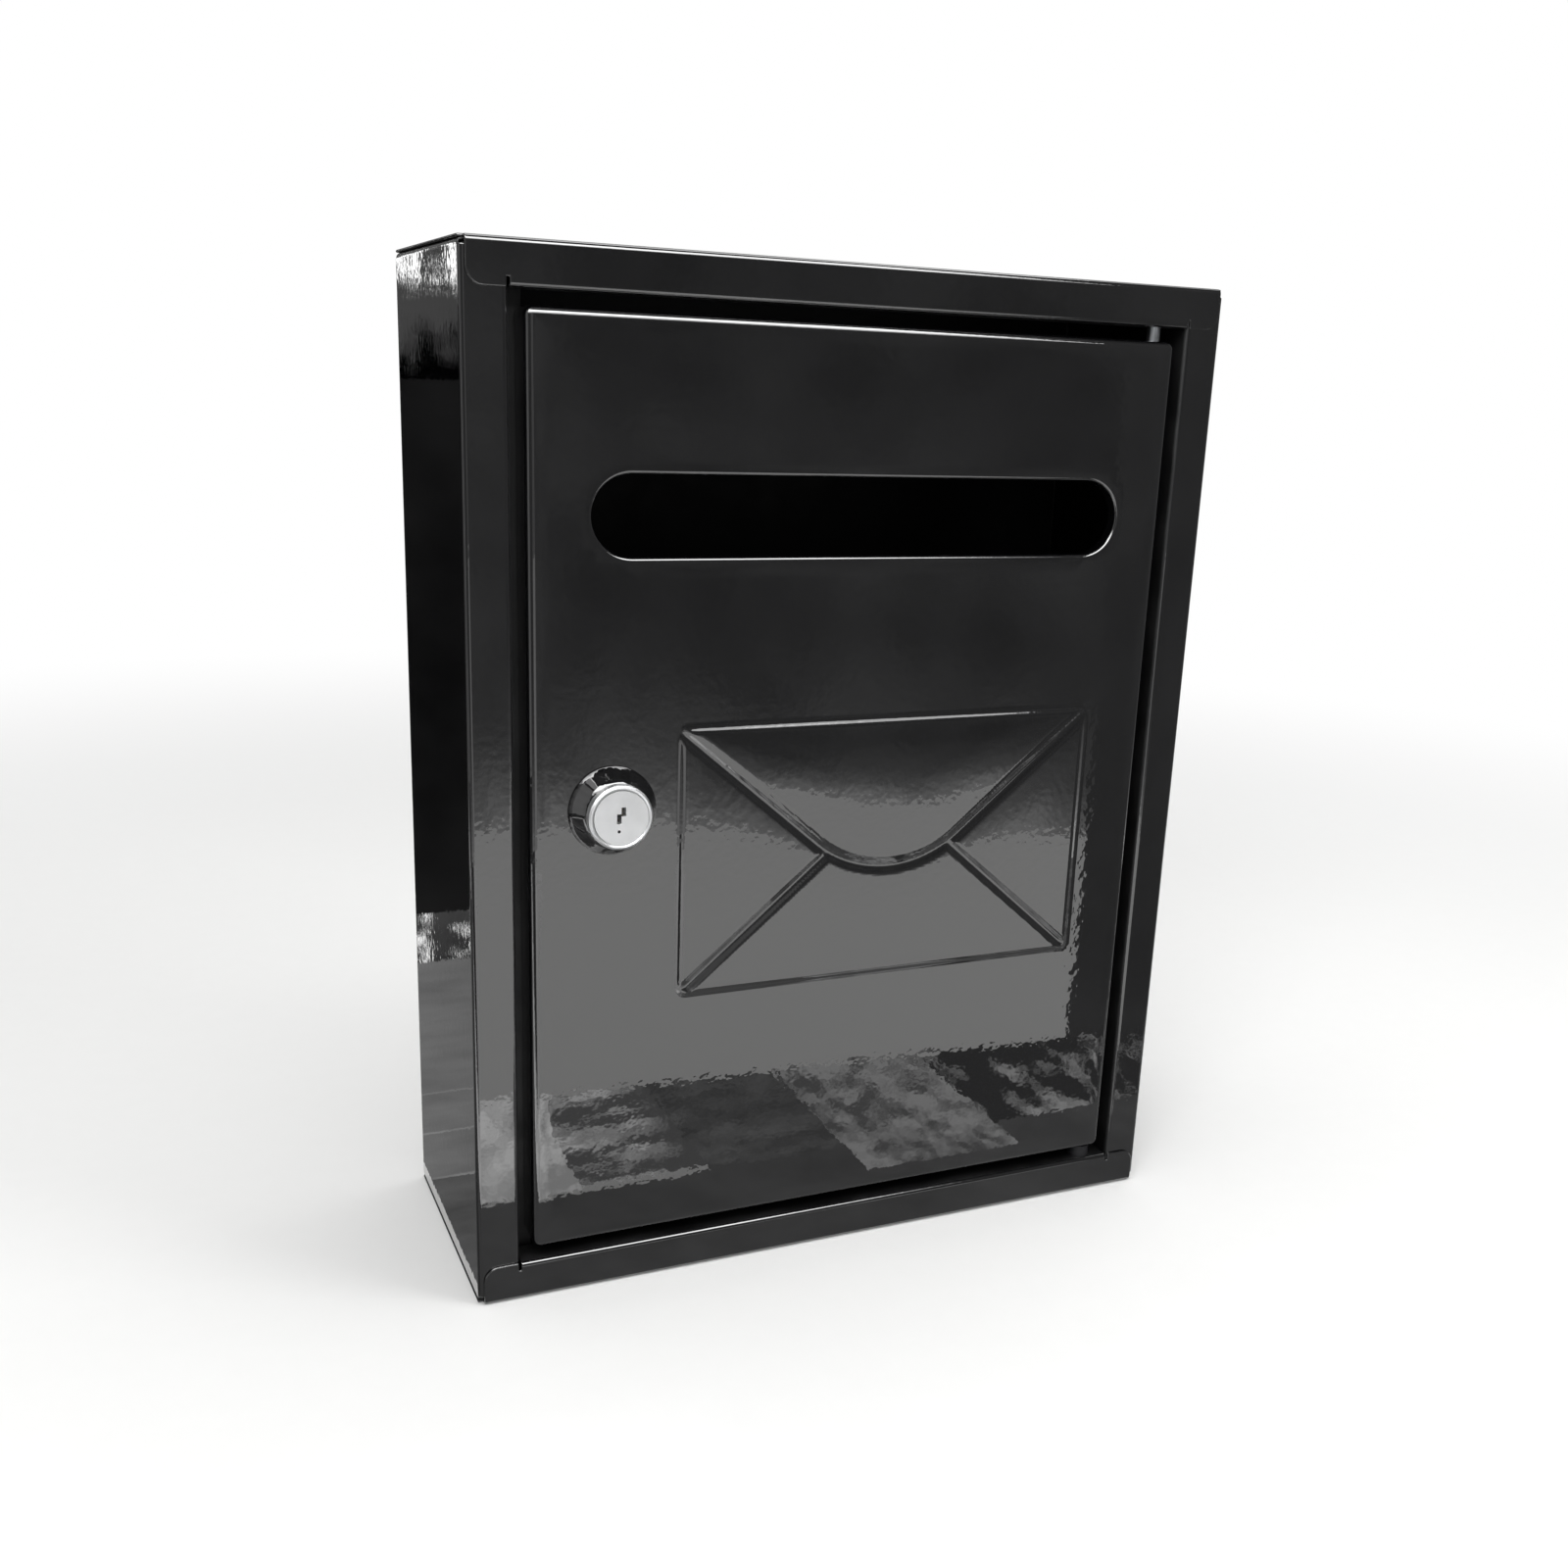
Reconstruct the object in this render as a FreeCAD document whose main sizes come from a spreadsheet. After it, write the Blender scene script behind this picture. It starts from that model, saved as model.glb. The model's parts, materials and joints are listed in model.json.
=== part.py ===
# Wall mounted post box of folded sheet steel, with a hinged door and a cam lock.
# X runs to the right, Y into the wall and Z up. The origin is the centre of the back face.
import FreeCAD
import Part
import Sketcher

import math
import os

from FreeCAD import Vector

doc = FreeCAD.newDocument("post_box")

# Driving sizes in millimetres and degrees: name, value, what it measures
SIZES = [
    ("box_width", 233, "over the two sides"),
    ("box_height", 300, "over top and bottom sheets"),
    ("box_depth", 86, "wall to the face of the side flanges"),
    ("gauge", 0.8, "thickness of all sheets"),
    ("inner_bend", 0.7, "radius inside each fold"),
    ("flange_width", 12.5, "front flange beside the door opening"),
    ("return_depth", 10, "flange return beside the hinge"),
    ("stop_width", 6, "door stop behind the free edge of the door"),
    ("stop_gap", 0.4, "closed door to its stop"),
    ("strip_height", 12, "front strips of the top and bottom sheets"),
    ("strip_inset", 1.6, "end of a strip to the side of the box"),
    ("strip_corner", 4.5, "radius of the free corners of a strip"),
    ("notch_width", 0.8, "bend relief beside a lip"),
    ("notch_height", 2.5, "bend relief beside a lip"),
    ("lip_depth", 10, "lip folded back from a strip"),
    ("lip_side_gap", 0.3, "lip to the returns beside it"),
    ("tab_depth", 8, "weld tabs of the walls under the top and bottom sheets"),
    ("tab_gap", 0.5, "weld tab to the tab beside it"),
    ("wall_hole_spacing_x", 150, "screw holes in the back"),
    ("wall_hole_spacing_z", 200, "screw holes in the back"),
    ("wall_hole_radius", 3, "screw holes in the back"),
    ("door_gap", 4, "door to the opening round it"),
    ("door_depth", 11, "door face to the edge of its returns"),
    ("slot_length", 166, "posting slot"),
    ("slot_height", 22, "posting slot"),
    ("slot_shift", 0.8, "middle of the posting slot right of the door's middle"),
    ("slot_drop", 52.6, "middle of the posting slot under the top of the door"),
    ("slot_rim", 4, "depth of the turned-in rim of the slot"),
    ("slot_roll", 1.2, "outer radius where the rim turns in"),
    ("envelope_lock_gap", 6.7, "foot of the lock to the raised envelope"),
    ("envelope_margin", 20.5, "raised envelope to the hinge side of the door"),
    ("envelope_drop", 111, "raised envelope under the top of the door"),
    ("envelope_height", 82, "foot of the raised envelope"),
    ("envelope_corner", 3, "corner radius of the raised envelope"),
    ("envelope_rise", 1, "height of the envelope over the door"),
    ("flap_rise", 2, "height of the flap over the door"),
    ("flap_inset", 1.5, "flap corners inside the envelope corners"),
    ("flap_length", 56, "envelope top to the meeting point of the flap edges"),
    ("flap_tip_radius", 36, "rounding of the flap tip"),
    ("relief_slope", 45, "slope of all pressed walls"),
    ("crease_half", 1.5, "half width of a crease at its top"),
    ("crease_inset", 3, "outer end of a crease inside the envelope"),
    ("crease_reach", 21, "inner ends of the lower creases to the middle"),
    ("crease_drop", 41.5, "inner ends of the lower creases under the envelope top"),
    ("pin_inset", 5, "hinge axis to the side of the door and to its face"),
    ("pin_radius", 2, "hinge pins"),
    ("pin_head_radius", 3.5, "hinge pins"),
    ("pin_head_height", 1.2, "hinge pins"),
    ("pin_tail", 2.4, "pin past the return of the door"),
    ("pin_fit", 0.05, "pin to its hole in a lip, on the radius"),
    ("hinge_play", 0.08, "pin to its hole in the door, on the radius"),
    ("spacer_radius", 3.6, "ring under the door"),
    ("spacer_play", 0.2, "ring to the door above it"),
    ("clip_width", 6.6, "across the flats of the push-on clips"),
    ("clip_thickness", 0.6, "push-on clips"),
    ("clip_gap", 0.3, "clip to the return of the door"),
    ("clip_slit", 0.8, "width of the slits in a clip"),
    ("lock_inset", 23.5, "lock axis to the free edge of the door"),
    ("lock_z", 0, "height of the lock axis"),
    ("lock_reach", 9, "lock face in front of the door"),
    ("head_radius", 9.2, "bright head of the lock"),
    ("head_height", 3, "bright head of the lock"),
    ("head_chamfer", 0.5, "edge of the head"),
    ("collar_radius", 12.8, "foot of the cone ring"),
    ("collar_edge", 0.8, "upright edge at the foot of the cone ring"),
    ("barrel_radius", 8, "threaded barrel"),
    ("barrel_flat", 7, "axis to each flat of the barrel"),
    ("barrel_fit", 0.15, "barrel to what slides on it"),
    ("latch_play", 0.8, "end of the barrel behind the door stop"),
    ("washer_radius", 11.5, "toothed washer"),
    ("washer_thickness", 0.8, "toothed washer"),
    ("tooth_depth", 1.6, "toothed washer"),
    ("tooth_width", 1.8, "toothed washer"),
    ("tooth_count", 12, "toothed washer"),
    ("nut_width", 21, "across the flats of the lock nut"),
    ("nut_height", 4, "lock nut"),
    ("plug_radius", 5.8, "turning plug"),
    ("plug_face_radius", 7.8, "visible face of the plug"),
    ("plug_face_height", 1.5, "visible face of the plug"),
    ("running_clearance", 0.06, "plug in its barrel, on the radius"),
    ("end_play", 0.1, "plug shoulder past the barrel"),
    ("keyway_depth", 14, "keyway from the plug face"),
    ("keyway_width", 1.3, "each half of the stepped keyway"),
    ("keyway_top", 3.1, "keyway over the axis"),
    ("keyway_foot", 1.6, "keyway under the axis"),
    ("keyway_step", 1.2, "height of the step over the axis"),
    ("mark_radius", 0.45, "punched dot on the plug face"),
    ("mark_drop", 3.8, "dot under the axis"),
    ("mark_depth", 0.4, "dot"),
    ("tang_width", 6.5, "square tang of the plug"),
    ("tang_fit", 0.05, "tang to what sits on it"),
    ("stop_disc_radius", 5.4, "stop washer"),
    ("stop_tab_reach", 7.6, "stop washer tab from the axis"),
    ("stop_tab_width", 3, "stop washer tab"),
    ("stop_thickness", 1, "stop washer"),
    ("stop_side_gap", 0.3, "tab to the end of its notch"),
    ("cam_length", 32, "latch arm from the axis"),
    ("cam_hub", 8, "half width of the latch arm at the axis"),
    ("cam_tip", 6, "half width of the latch arm at its end"),
    ("cam_taper", 12, "start of the narrow part from the axis"),
    ("cam_corner", 2.5, "corner radius of the latch arm"),
    ("cam_thickness", 2, "latch arm"),
    ("cam_gap", 0.3, "latch arm to the barrel"),
    ("screw_radius", 2, "cam screw"),
    ("screw_length", 7, "cam screw under its head"),
    ("screw_head_width", 7, "across the flats of the cam screw"),
    ("screw_head_height", 2.8, "cam screw"),
    ("screw_fit", 0.05, "cam screw in its hole"),
    ("spring_washer_radius", 3.6, "spring washer"),
    ("spring_washer_thickness", 0.8, "spring washer"),
    ("spring_washer_split", 0.6, "spring washer"),
    ("wafer_count", 4, "wafers in the plug"),
    ("wafer_first", 3.4, "plug face to the first wafer"),
    ("wafer_pitch", 2.2, "wafer to wafer"),
    ("wafer_thickness", 1, "wafer"),
    ("wafer_width", 6.6, "wafer"),
    ("wafer_height", 8.2, "wafer"),
    ("wafer_play", 0.1, "wafer in its slot"),
]

sizes = doc.addObject("Spreadsheet::Sheet", "Sizes")
for row, (alias, number, meaning) in enumerate(SIZES, start=1):
    sizes.set(f"A{row}", alias)
    sizes.set(f"B{row}", str(number))
    sizes.set(f"C{row}", meaning)
    sizes.setAlias(f"B{row}", alias)
doc.recompute()

# Places that several pieces share, as formulas on the driving sizes
HALF_WIDTH = "Sizes.box_width / 2"
HALF_HEIGHT = "Sizes.box_height / 2"
OUTER_BEND = "(Sizes.inner_bend + Sizes.gauge)"
JAMB_X = f"({HALF_WIDTH} - Sizes.flange_width)"
STRIP_Z = f"({HALF_HEIGHT} - Sizes.strip_height)"
TAB_Z = f"({HALF_HEIGHT} - Sizes.gauge - {OUTER_BEND})"
FLANGE_Y = "(-Sizes.box_depth)"
FACE_Y = "(-Sizes.box_depth - Sizes.gauge)"
DOOR_X = f"({JAMB_X} - Sizes.door_gap)"
DOOR_Z = f"({STRIP_Z} - Sizes.door_gap)"
STOP_Y = f"({FACE_Y} + Sizes.door_depth + Sizes.stop_gap)"
PIN_X = f"({DOOR_X} - Sizes.pin_inset)"
PIN_Y = f"({FACE_Y} + Sizes.pin_inset)"
LOCK_X = f"(Sizes.lock_inset - {DOOR_X})"
LOCK_Z = "Sizes.lock_z"
SLOT_X = "Sizes.slot_shift"
SLOT_Z = f"({DOOR_Z} - Sizes.slot_drop)"
ENVELOPE_LEFT = f"({LOCK_X} + Sizes.collar_radius + Sizes.envelope_lock_gap)"
ENVELOPE_RIGHT = f"({DOOR_X} - Sizes.envelope_margin)"
ENVELOPE_MIDDLE = f"(({ENVELOPE_LEFT} + {ENVELOPE_RIGHT}) / 2)"
ENVELOPE_TOP = f"({DOOR_Z} - Sizes.envelope_drop)"
ENVELOPE_BOTTOM = f"({ENVELOPE_TOP} - Sizes.envelope_height)"
# Places along the lock axis, measured from the door face into the box
HEAD_FRONT = "(-Sizes.lock_reach)"
HEAD_BACK = "(Sizes.head_height - Sizes.lock_reach)"
BARREL_END = "(Sizes.door_depth + Sizes.stop_gap + Sizes.gauge + Sizes.latch_play)"
SHOULDER = f"({BARREL_END} + Sizes.end_play)"
CAM_FRONT = f"({SHOULDER} + Sizes.stop_thickness)"
RIM_END = f"({CAM_FRONT} - Sizes.cam_gap)"
CAM_BACK = f"({CAM_FRONT} + Sizes.cam_thickness)"
SCREW_SEAT = f"({CAM_BACK} + Sizes.spring_washer_thickness)"
BORE = "(Sizes.plug_radius + Sizes.running_clearance)"


def value(formula):
    """Number that a formula on the driving sizes gives."""
    return float(sizes.evalExpression(formula))


def new_body(name):
    """Empty body that will become the piece of this name."""
    body = doc.addObject("PartDesign::Body", name)
    body.Label = name
    return body


def new_sketch(body, role, x="0", y="0", z="0"):
    """Sketch on an origin plane of the body, shifted in the plane by x and y and off it by z."""
    sketch = body.newObject("Sketcher::SketchObject", body.Name + "_sketch")
    plane = [item for item in body.Origin.OriginFeatures if item.Role == role][0]
    sketch.AttachmentSupport = (plane, [""])
    sketch.MapMode = "FlatFace"
    for axis, formula in zip("xyz", (x, y, z)):
        sketch.setExpression(f"AttachmentOffset.Base.{axis}", formula)
    return sketch


def front_sketch(body, depth="0", x="0", z="0"):
    """Sketch parallel to the door, at a depth behind the door face."""
    return new_sketch(body, "XZ_Plane", x, z, f"-({FACE_Y}) - ({depth})")


def lock_sketch(body, depth):
    """Sketch across the lock axis, at a depth behind the door face."""
    return front_sketch(body, depth, LOCK_X, LOCK_Z)


def lock_profile(body):
    """Sketch in the upright plane of the lock axis: first the depth behind the door face, then the radius."""
    return new_sketch(body, "YZ_Plane", FACE_Y, LOCK_Z, LOCK_X)


def pin_profile(body):
    """Sketch in a plane through the hinge axis: first the radius, then the height."""
    return new_sketch(body, "XZ_Plane", PIN_X, "0", f"-({PIN_Y})")


def tie(sketch, kind, places, formula):
    """One dimension of a sketch, bound to a formula."""
    index = sketch.addConstraint(Sketcher.Constraint(kind, *places, value(formula)))
    sketch.setExpression(f"Constraints[{index}]", formula)


def tie_point(sketch, geometry, position, x, y):
    """Place of a sketch point, bound to two formulas."""
    tie(sketch, "DistanceX", (-1, 1, geometry, position), x)
    tie(sketch, "DistanceY", (-1, 1, geometry, position), y)


def outline(sketch, corners):
    """Closed outline through corners (x, y, radius), where a radius of None leaves the corner sharp."""
    count = len(corners)
    spots = [Vector(value(x), value(y), 0) for x, y, radius in corners]
    arrive = list(spots)
    leave = list(spots)
    arcs = {}
    for index, (x, y, radius) in enumerate(corners):
        if radius is None:
            continue
        spot = spots[index]
        back = (spots[index - 1] - spot).normalize()
        ahead = (spots[(index + 1) % count] - spot).normalize()
        half = back.getAngle(ahead) / 2
        size = value(radius)
        arrive[index] = spot + back * (size / math.tan(half))
        leave[index] = spot + ahead * (size / math.tan(half))
        centre = spot + (back + ahead).normalize() * (size / math.sin(half))
        left_turn = ahead.cross(back).z > 0
        first, last = (arrive[index], leave[index]) if left_turn else (leave[index], arrive[index])
        start = math.atan2(first.y - centre.y, first.x - centre.x)
        end = math.atan2(last.y - centre.y, last.x - centre.x)
        circle = Part.Circle(centre, Vector(0, 0, 1), size)
        arcs[index] = (Part.ArcOfCircle(circle, start, end), left_turn)
    lines = [
        sketch.addGeometry(Part.LineSegment(leave[index], arrive[(index + 1) % count]), False)
        for index in range(count)
    ]
    for index, (x, y, radius) in enumerate(corners):
        before = lines[index - 1]
        after = lines[index]
        if radius is None:
            sketch.addConstraint(Sketcher.Constraint("Coincident", before, 2, after, 1))
            tie_point(sketch, after, 1, x, y)
            continue
        arc, left_turn = arcs[index]
        number = sketch.addGeometry(arc, False)
        near, far = (1, 2) if left_turn else (2, 1)
        sketch.addConstraint(Sketcher.Constraint("Tangent", before, 2, number, near))
        sketch.addConstraint(Sketcher.Constraint("Tangent", number, far, after, 1))
        tie(sketch, "Radius", (number,), radius)
        corner = sketch.addGeometry(Part.Point(spots[index]), True)
        sketch.addConstraint(Sketcher.Constraint("PointOnObject", corner, 1, before))
        sketch.addConstraint(Sketcher.Constraint("PointOnObject", corner, 1, after))
        tie_point(sketch, corner, 1, x, y)


def rectangle(sketch, left, right, low, high, radius=None):
    """Rectangle between four formulas, with a corner radius where one is given."""
    outline(sketch, [(left, low, radius), (right, low, radius), (right, high, radius), (left, high, radius)])


def circle(sketch, radius, x="0", y="0"):
    """Circle with its centre and radius bound to formulas."""
    shape = Part.Circle(Vector(value(x), value(y), 0), Vector(0, 0, 1), value(radius))
    number = sketch.addGeometry(shape, False)
    tie(sketch, "Radius", (number,), radius)
    tie_point(sketch, number, 3, x, y)


def hexagon(sketch, width):
    """Hexagon round the sketch origin, from its width across the flats."""
    reach = f"({width} / 2 / cos(30))"
    outline(sketch, [
        (f"{reach} * cos({turn * 60})", f"{reach} * sin({turn * 60})", None)
        for turn in range(6)
    ])


def band(sketch, start, end, radius):
    """Straight band with round ends, from the centre of one end to the centre of the other."""
    first = Vector(value(start[0]), value(start[1]), 0)
    second = Vector(value(end[0]), value(end[1]), 0)
    size = value(radius)
    along = (second - first).normalize()
    across = Vector(-along.y, along.x, 0) * size
    angle = math.atan2(across.y, across.x)
    up = Vector(0, 0, 1)
    near = sketch.addGeometry(Part.ArcOfCircle(Part.Circle(first, up, size), angle, angle + math.pi), False)
    far = sketch.addGeometry(Part.ArcOfCircle(Part.Circle(second, up, size), angle - math.pi, angle), False)
    right = sketch.addGeometry(Part.LineSegment(first - across, second - across), False)
    left = sketch.addGeometry(Part.LineSegment(second + across, first + across), False)
    for pair in ((near, 2, right, 1), (right, 2, far, 1), (far, 2, left, 1), (left, 2, near, 1)):
        sketch.addConstraint(Sketcher.Constraint("Tangent", *pair))
    sketch.addConstraint(Sketcher.Constraint("Equal", near, far))
    tie(sketch, "Radius", (near,), radius)
    tie_point(sketch, near, 3, *start)
    tie_point(sketch, far, 3, *end)


def flatted_circle(sketch, radius, flat):
    """Circle with two upright flats, each at the distance flat from the centre."""
    size = value(radius)
    side = value(flat)
    rise = math.sqrt(size ** 2 - side ** 2)
    angle = math.atan2(rise, side)
    ring = Part.Circle(Vector(0, 0, 0), Vector(0, 0, 1), size)
    top = sketch.addGeometry(Part.ArcOfCircle(ring, angle, math.pi - angle), False)
    low = sketch.addGeometry(Part.ArcOfCircle(ring, math.pi + angle, 2 * math.pi - angle), False)
    left = sketch.addGeometry(Part.LineSegment(Vector(-side, rise, 0), Vector(-side, -rise, 0)), False)
    right = sketch.addGeometry(Part.LineSegment(Vector(side, -rise, 0), Vector(side, rise, 0)), False)
    for pair in ((top, 2, left, 1), (left, 2, low, 1), (low, 2, right, 1), (right, 2, top, 1)):
        sketch.addConstraint(Sketcher.Constraint("Coincident", *pair))
    sketch.addConstraint(Sketcher.Constraint("Coincident", top, 3, -1, 1))
    sketch.addConstraint(Sketcher.Constraint("Coincident", low, 3, -1, 1))
    sketch.addConstraint(Sketcher.Constraint("Vertical", left))
    sketch.addConstraint(Sketcher.Constraint("Vertical", right))
    tie(sketch, "Radius", (top,), radius)
    tie(sketch, "DistanceX", (-1, 1, left, 1), f"-({flat})")
    tie(sketch, "DistanceX", (-1, 1, right, 1), flat)


def folded(skin):
    """Corners of a folded sheet's section, from one skin.

    Each entry is x, y, the signs towards the other skin, and the fold: 1 where this skin is on the
    outside of the bend, -1 where it is on the inside, 0 at a free edge."""
    radii = {1: (OUTER_BEND, "Sizes.inner_bend"), -1: ("Sizes.inner_bend", OUTER_BEND), 0: (None, None)}
    near = [(x, y, radii[fold][0]) for x, y, across, along, fold in skin]
    far = [
        (f"{x} + {across} * Sizes.gauge", f"{y} + {along} * Sizes.gauge", radii[fold][1])
        for x, y, across, along, fold in skin
    ]
    return near + far[::-1]


def pad(body, sketch, length, reverse=False, taper=None):
    """Solid from a sketch along its normal, or against it."""
    feature = body.newObject("PartDesign::Pad", body.Name + "_pad")
    return shape_feature(feature, sketch, length, reverse, taper)


def pocket(body, sketch, length, reverse=False, taper=None):
    """Cut from a sketch against its normal, or along it."""
    feature = body.newObject("PartDesign::Pocket", body.Name + "_pocket")
    return shape_feature(feature, sketch, length, reverse, taper)


def shape_feature(feature, sketch, length, reverse, taper):
    """Common settings of a pad and a pocket."""
    feature.Profile = sketch
    feature.Reversed = reverse
    feature.setExpression("Length", length)
    if taper is not None:
        feature.setExpression("TaperAngle", f"-({taper})")
    doc.recompute()
    return feature


def revolve(body, sketch, axis):
    """Full turn of a sketch about one of its own axes."""
    feature = body.newObject("PartDesign::Revolution", body.Name + "_turned")
    feature.Profile = sketch
    feature.ReferenceAxis = (sketch, [axis])
    feature.Angle = 360
    doc.recompute()
    return feature


def round_edges(body, radius, chosen):
    """Fillet on the edges of the body's present shape that the test picks."""
    base = body.Tip
    names = [f"Edge{number}" for number, edge in enumerate(base.Shape.Edges, start=1) if chosen(edge)]
    feature = body.newObject("PartDesign::Fillet", body.Name + "_fillet")
    feature.Base = (base, names)
    feature.setExpression("Radius", radius)
    doc.recompute()
    return feature


def lies_at_y(edge, place):
    """True where the whole edge lies in the plane Y = place."""
    box = edge.BoundBox
    return abs(box.YMin - place) < 0.001 and abs(box.YMax - place) < 0.001


# Box

def make_wrap_panel():
    """Left side, back and right side in one sheet, with the folds round the door opening and weld tabs."""
    body = new_body("wrap_panel")
    section = new_sketch(body, "XY_Plane", z=f"-{TAB_Z}")
    outline(section, folded([
        (f"-{JAMB_X} + Sizes.stop_width", STOP_Y, 0, 1, 0),
        (f"-{JAMB_X}", STOP_Y, -1, 1, -1),
        (f"-{JAMB_X}", FLANGE_Y, -1, 1, 1),
        (f"-{HALF_WIDTH}", FLANGE_Y, 1, 1, 1),
        (f"-{HALF_WIDTH}", "0", 1, -1, 1),
        (HALF_WIDTH, "0", -1, -1, 1),
        (HALF_WIDTH, FLANGE_Y, -1, 1, 1),
        (JAMB_X, FLANGE_Y, 1, 1, 1),
        (JAMB_X, f"{FLANGE_Y} + Sizes.return_depth", 1, 0, 0),
    ]))
    pad(body, section, f"2 * {TAB_Z}")

    back_tab = f"({HALF_WIDTH} - Sizes.tab_depth - Sizes.tab_gap)"
    for end in (1, -1):
        seat = f"{end} * ({HALF_HEIGHT} - Sizes.gauge)"
        foot = f"{end} * ({TAB_Z} - {OUTER_BEND})"
        tab = new_sketch(body, "YZ_Plane", z=f"-{back_tab}")
        outline(tab, folded([
            ("0", foot, -1, 0, 0),
            ("0", seat, -1, -end, 1),
            ("-Sizes.tab_depth", seat, 0, -end, 0),
        ]))
        pad(body, tab, f"2 * {back_tab}")
        for side in (1, -1):
            tab = new_sketch(body, "XZ_Plane", z=OUTER_BEND)
            outline(tab, folded([
                (f"{side} * {HALF_WIDTH}", foot, -side, 0, 0),
                (f"{side} * {HALF_WIDTH}", seat, -side, -end, 1),
                (f"{side} * ({HALF_WIDTH} - Sizes.tab_depth)", seat, 0, -end, 0),
            ]))
            pad(body, tab, f"Sizes.box_depth - 2 * {OUTER_BEND}")

    holes = new_sketch(body, "XZ_Plane")
    for across in (-1, 1):
        for up in (-1, 1):
            circle(
                holes,
                "Sizes.wall_hole_radius",
                f"{across} * Sizes.wall_hole_spacing_x / 2",
                f"{up} * Sizes.wall_hole_spacing_z / 2",
            )
    pocket(body, holes, "Sizes.gauge", reverse=True)
    return body


def make_end_panel(name, side):
    """Top (side 1) or bottom (side -1) sheet with its front strip and the lip folded back."""
    body = new_body(name)

    def level(formula):
        return f"{side} * ({formula})"

    strip_side = f"({HALF_WIDTH} - Sizes.strip_inset)"
    lip_side = f"({JAMB_X} - Sizes.lip_side_gap)"
    overlap = f"({STRIP_Z} + Sizes.notch_height + Sizes.gauge)"

    sheet = new_sketch(body, "XY_Plane", z=level(HALF_HEIGHT))
    outline(sheet, [
        (f"-{HALF_WIDTH}", f"{FLANGE_Y} + {OUTER_BEND}", None),
        (HALF_WIDTH, f"{FLANGE_Y} + {OUTER_BEND}", None),
        (HALF_WIDTH, "0", OUTER_BEND),
        (f"-{HALF_WIDTH}", "0", OUTER_BEND),
    ])
    pad(body, sheet, "Sizes.gauge", reverse=side > 0)

    fold = new_sketch(body, "YZ_Plane", z=f"-{strip_side}")
    outline(fold, folded([
        (f"{FLANGE_Y} + 2 * {OUTER_BEND}", level(HALF_HEIGHT), 0, -side, 0),
        (FACE_Y, level(HALF_HEIGHT), 1, -side, 1),
        (FACE_Y, level(f"{HALF_HEIGHT} - 2 * {OUTER_BEND}"), 1, 0, 0),
    ]))
    pad(body, fold, f"2 * {strip_side}")

    strip = front_sketch(body)
    notch_inner = f"({JAMB_X} + Sizes.notch_width - Sizes.lip_side_gap)"
    notch_top = f"{STRIP_Z} + Sizes.notch_height"
    top = level(f"{HALF_HEIGHT} - {OUTER_BEND}")
    outline(strip, [
        (f"-{strip_side}", top, None),
        (f"-{strip_side}", level(STRIP_Z), "Sizes.strip_corner"),
        (f"-{notch_inner}", level(STRIP_Z), None),
        (f"-{notch_inner}", level(notch_top), None),
        (notch_inner, level(notch_top), None),
        (notch_inner, level(STRIP_Z), None),
        (strip_side, level(STRIP_Z), "Sizes.strip_corner"),
        (strip_side, top, None),
    ])
    pad(body, strip, "Sizes.gauge", reverse=True)

    lip = new_sketch(body, "YZ_Plane", z=f"-{lip_side}")
    outline(lip, folded([
        (FACE_Y, level(overlap), 1, 0, 0),
        (FACE_Y, level(STRIP_Z), 1, side, 1),
        (f"{FACE_Y} + Sizes.lip_depth", level(STRIP_Z), 0, side, 0),
    ]))
    pad(body, lip, f"2 * {lip_side}")

    hole = new_sketch(body, "XY_Plane", x=PIN_X, y=PIN_Y, z=level(f"{STRIP_Z} + Sizes.gauge"))
    circle(hole, "Sizes.pin_radius + Sizes.pin_fit")
    pocket(body, hole, "Sizes.gauge", reverse=side < 0)
    return body


# Door

def press(body, draw, rise, level="0"):
    """Presses an outline outwards by rise: raised on the face and hollow behind, so the wall stays even."""
    raised = front_sketch(body, f"-({level})")
    draw(raised)
    pad(body, raised, rise, taper="Sizes.relief_slope")
    hollow = front_sketch(body, f"Sizes.gauge - ({level})")
    draw(hollow)
    pocket(body, hollow, rise, reverse=True, taper="Sizes.relief_slope")


def sink(body, draw, drop, level):
    """Presses an outline inwards by drop from a raised level: sunk on the face and proud behind."""
    proud = front_sketch(body, f"Sizes.gauge - ({level})")
    draw(proud)
    pad(body, proud, drop, reverse=True, taper="Sizes.relief_slope")
    sunk = front_sketch(body, f"-({level})")
    draw(sunk)
    pocket(body, sunk, drop, taper="Sizes.relief_slope")


def draw_envelope(sketch):
    """Foot of the raised envelope."""
    corner = "Sizes.envelope_corner"
    rectangle(sketch, ENVELOPE_LEFT, ENVELOPE_RIGHT, ENVELOPE_BOTTOM, ENVELOPE_TOP, corner)


def outline_flap(sketch, grow):
    """Flap with two sharp corners at the top and a rounded tip, all moved outwards by grow."""
    outline(sketch, [
        (f"{ENVELOPE_LEFT} + Sizes.flap_inset - {grow}", ENVELOPE_TOP, None),
        (ENVELOPE_MIDDLE, f"{ENVELOPE_TOP} - Sizes.flap_length - {grow}", f"Sizes.flap_tip_radius + {grow}"),
        (f"{ENVELOPE_RIGHT} - Sizes.flap_inset + {grow}", ENVELOPE_TOP, None),
    ])


def draw_flap(sketch):
    """Foot of the raised flap."""
    outline_flap(sketch, "0")


def draw_flap_crease(sketch):
    """Upper edge of the crease round the flap."""
    outline_flap(sketch, "2 * Sizes.crease_half")


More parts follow.
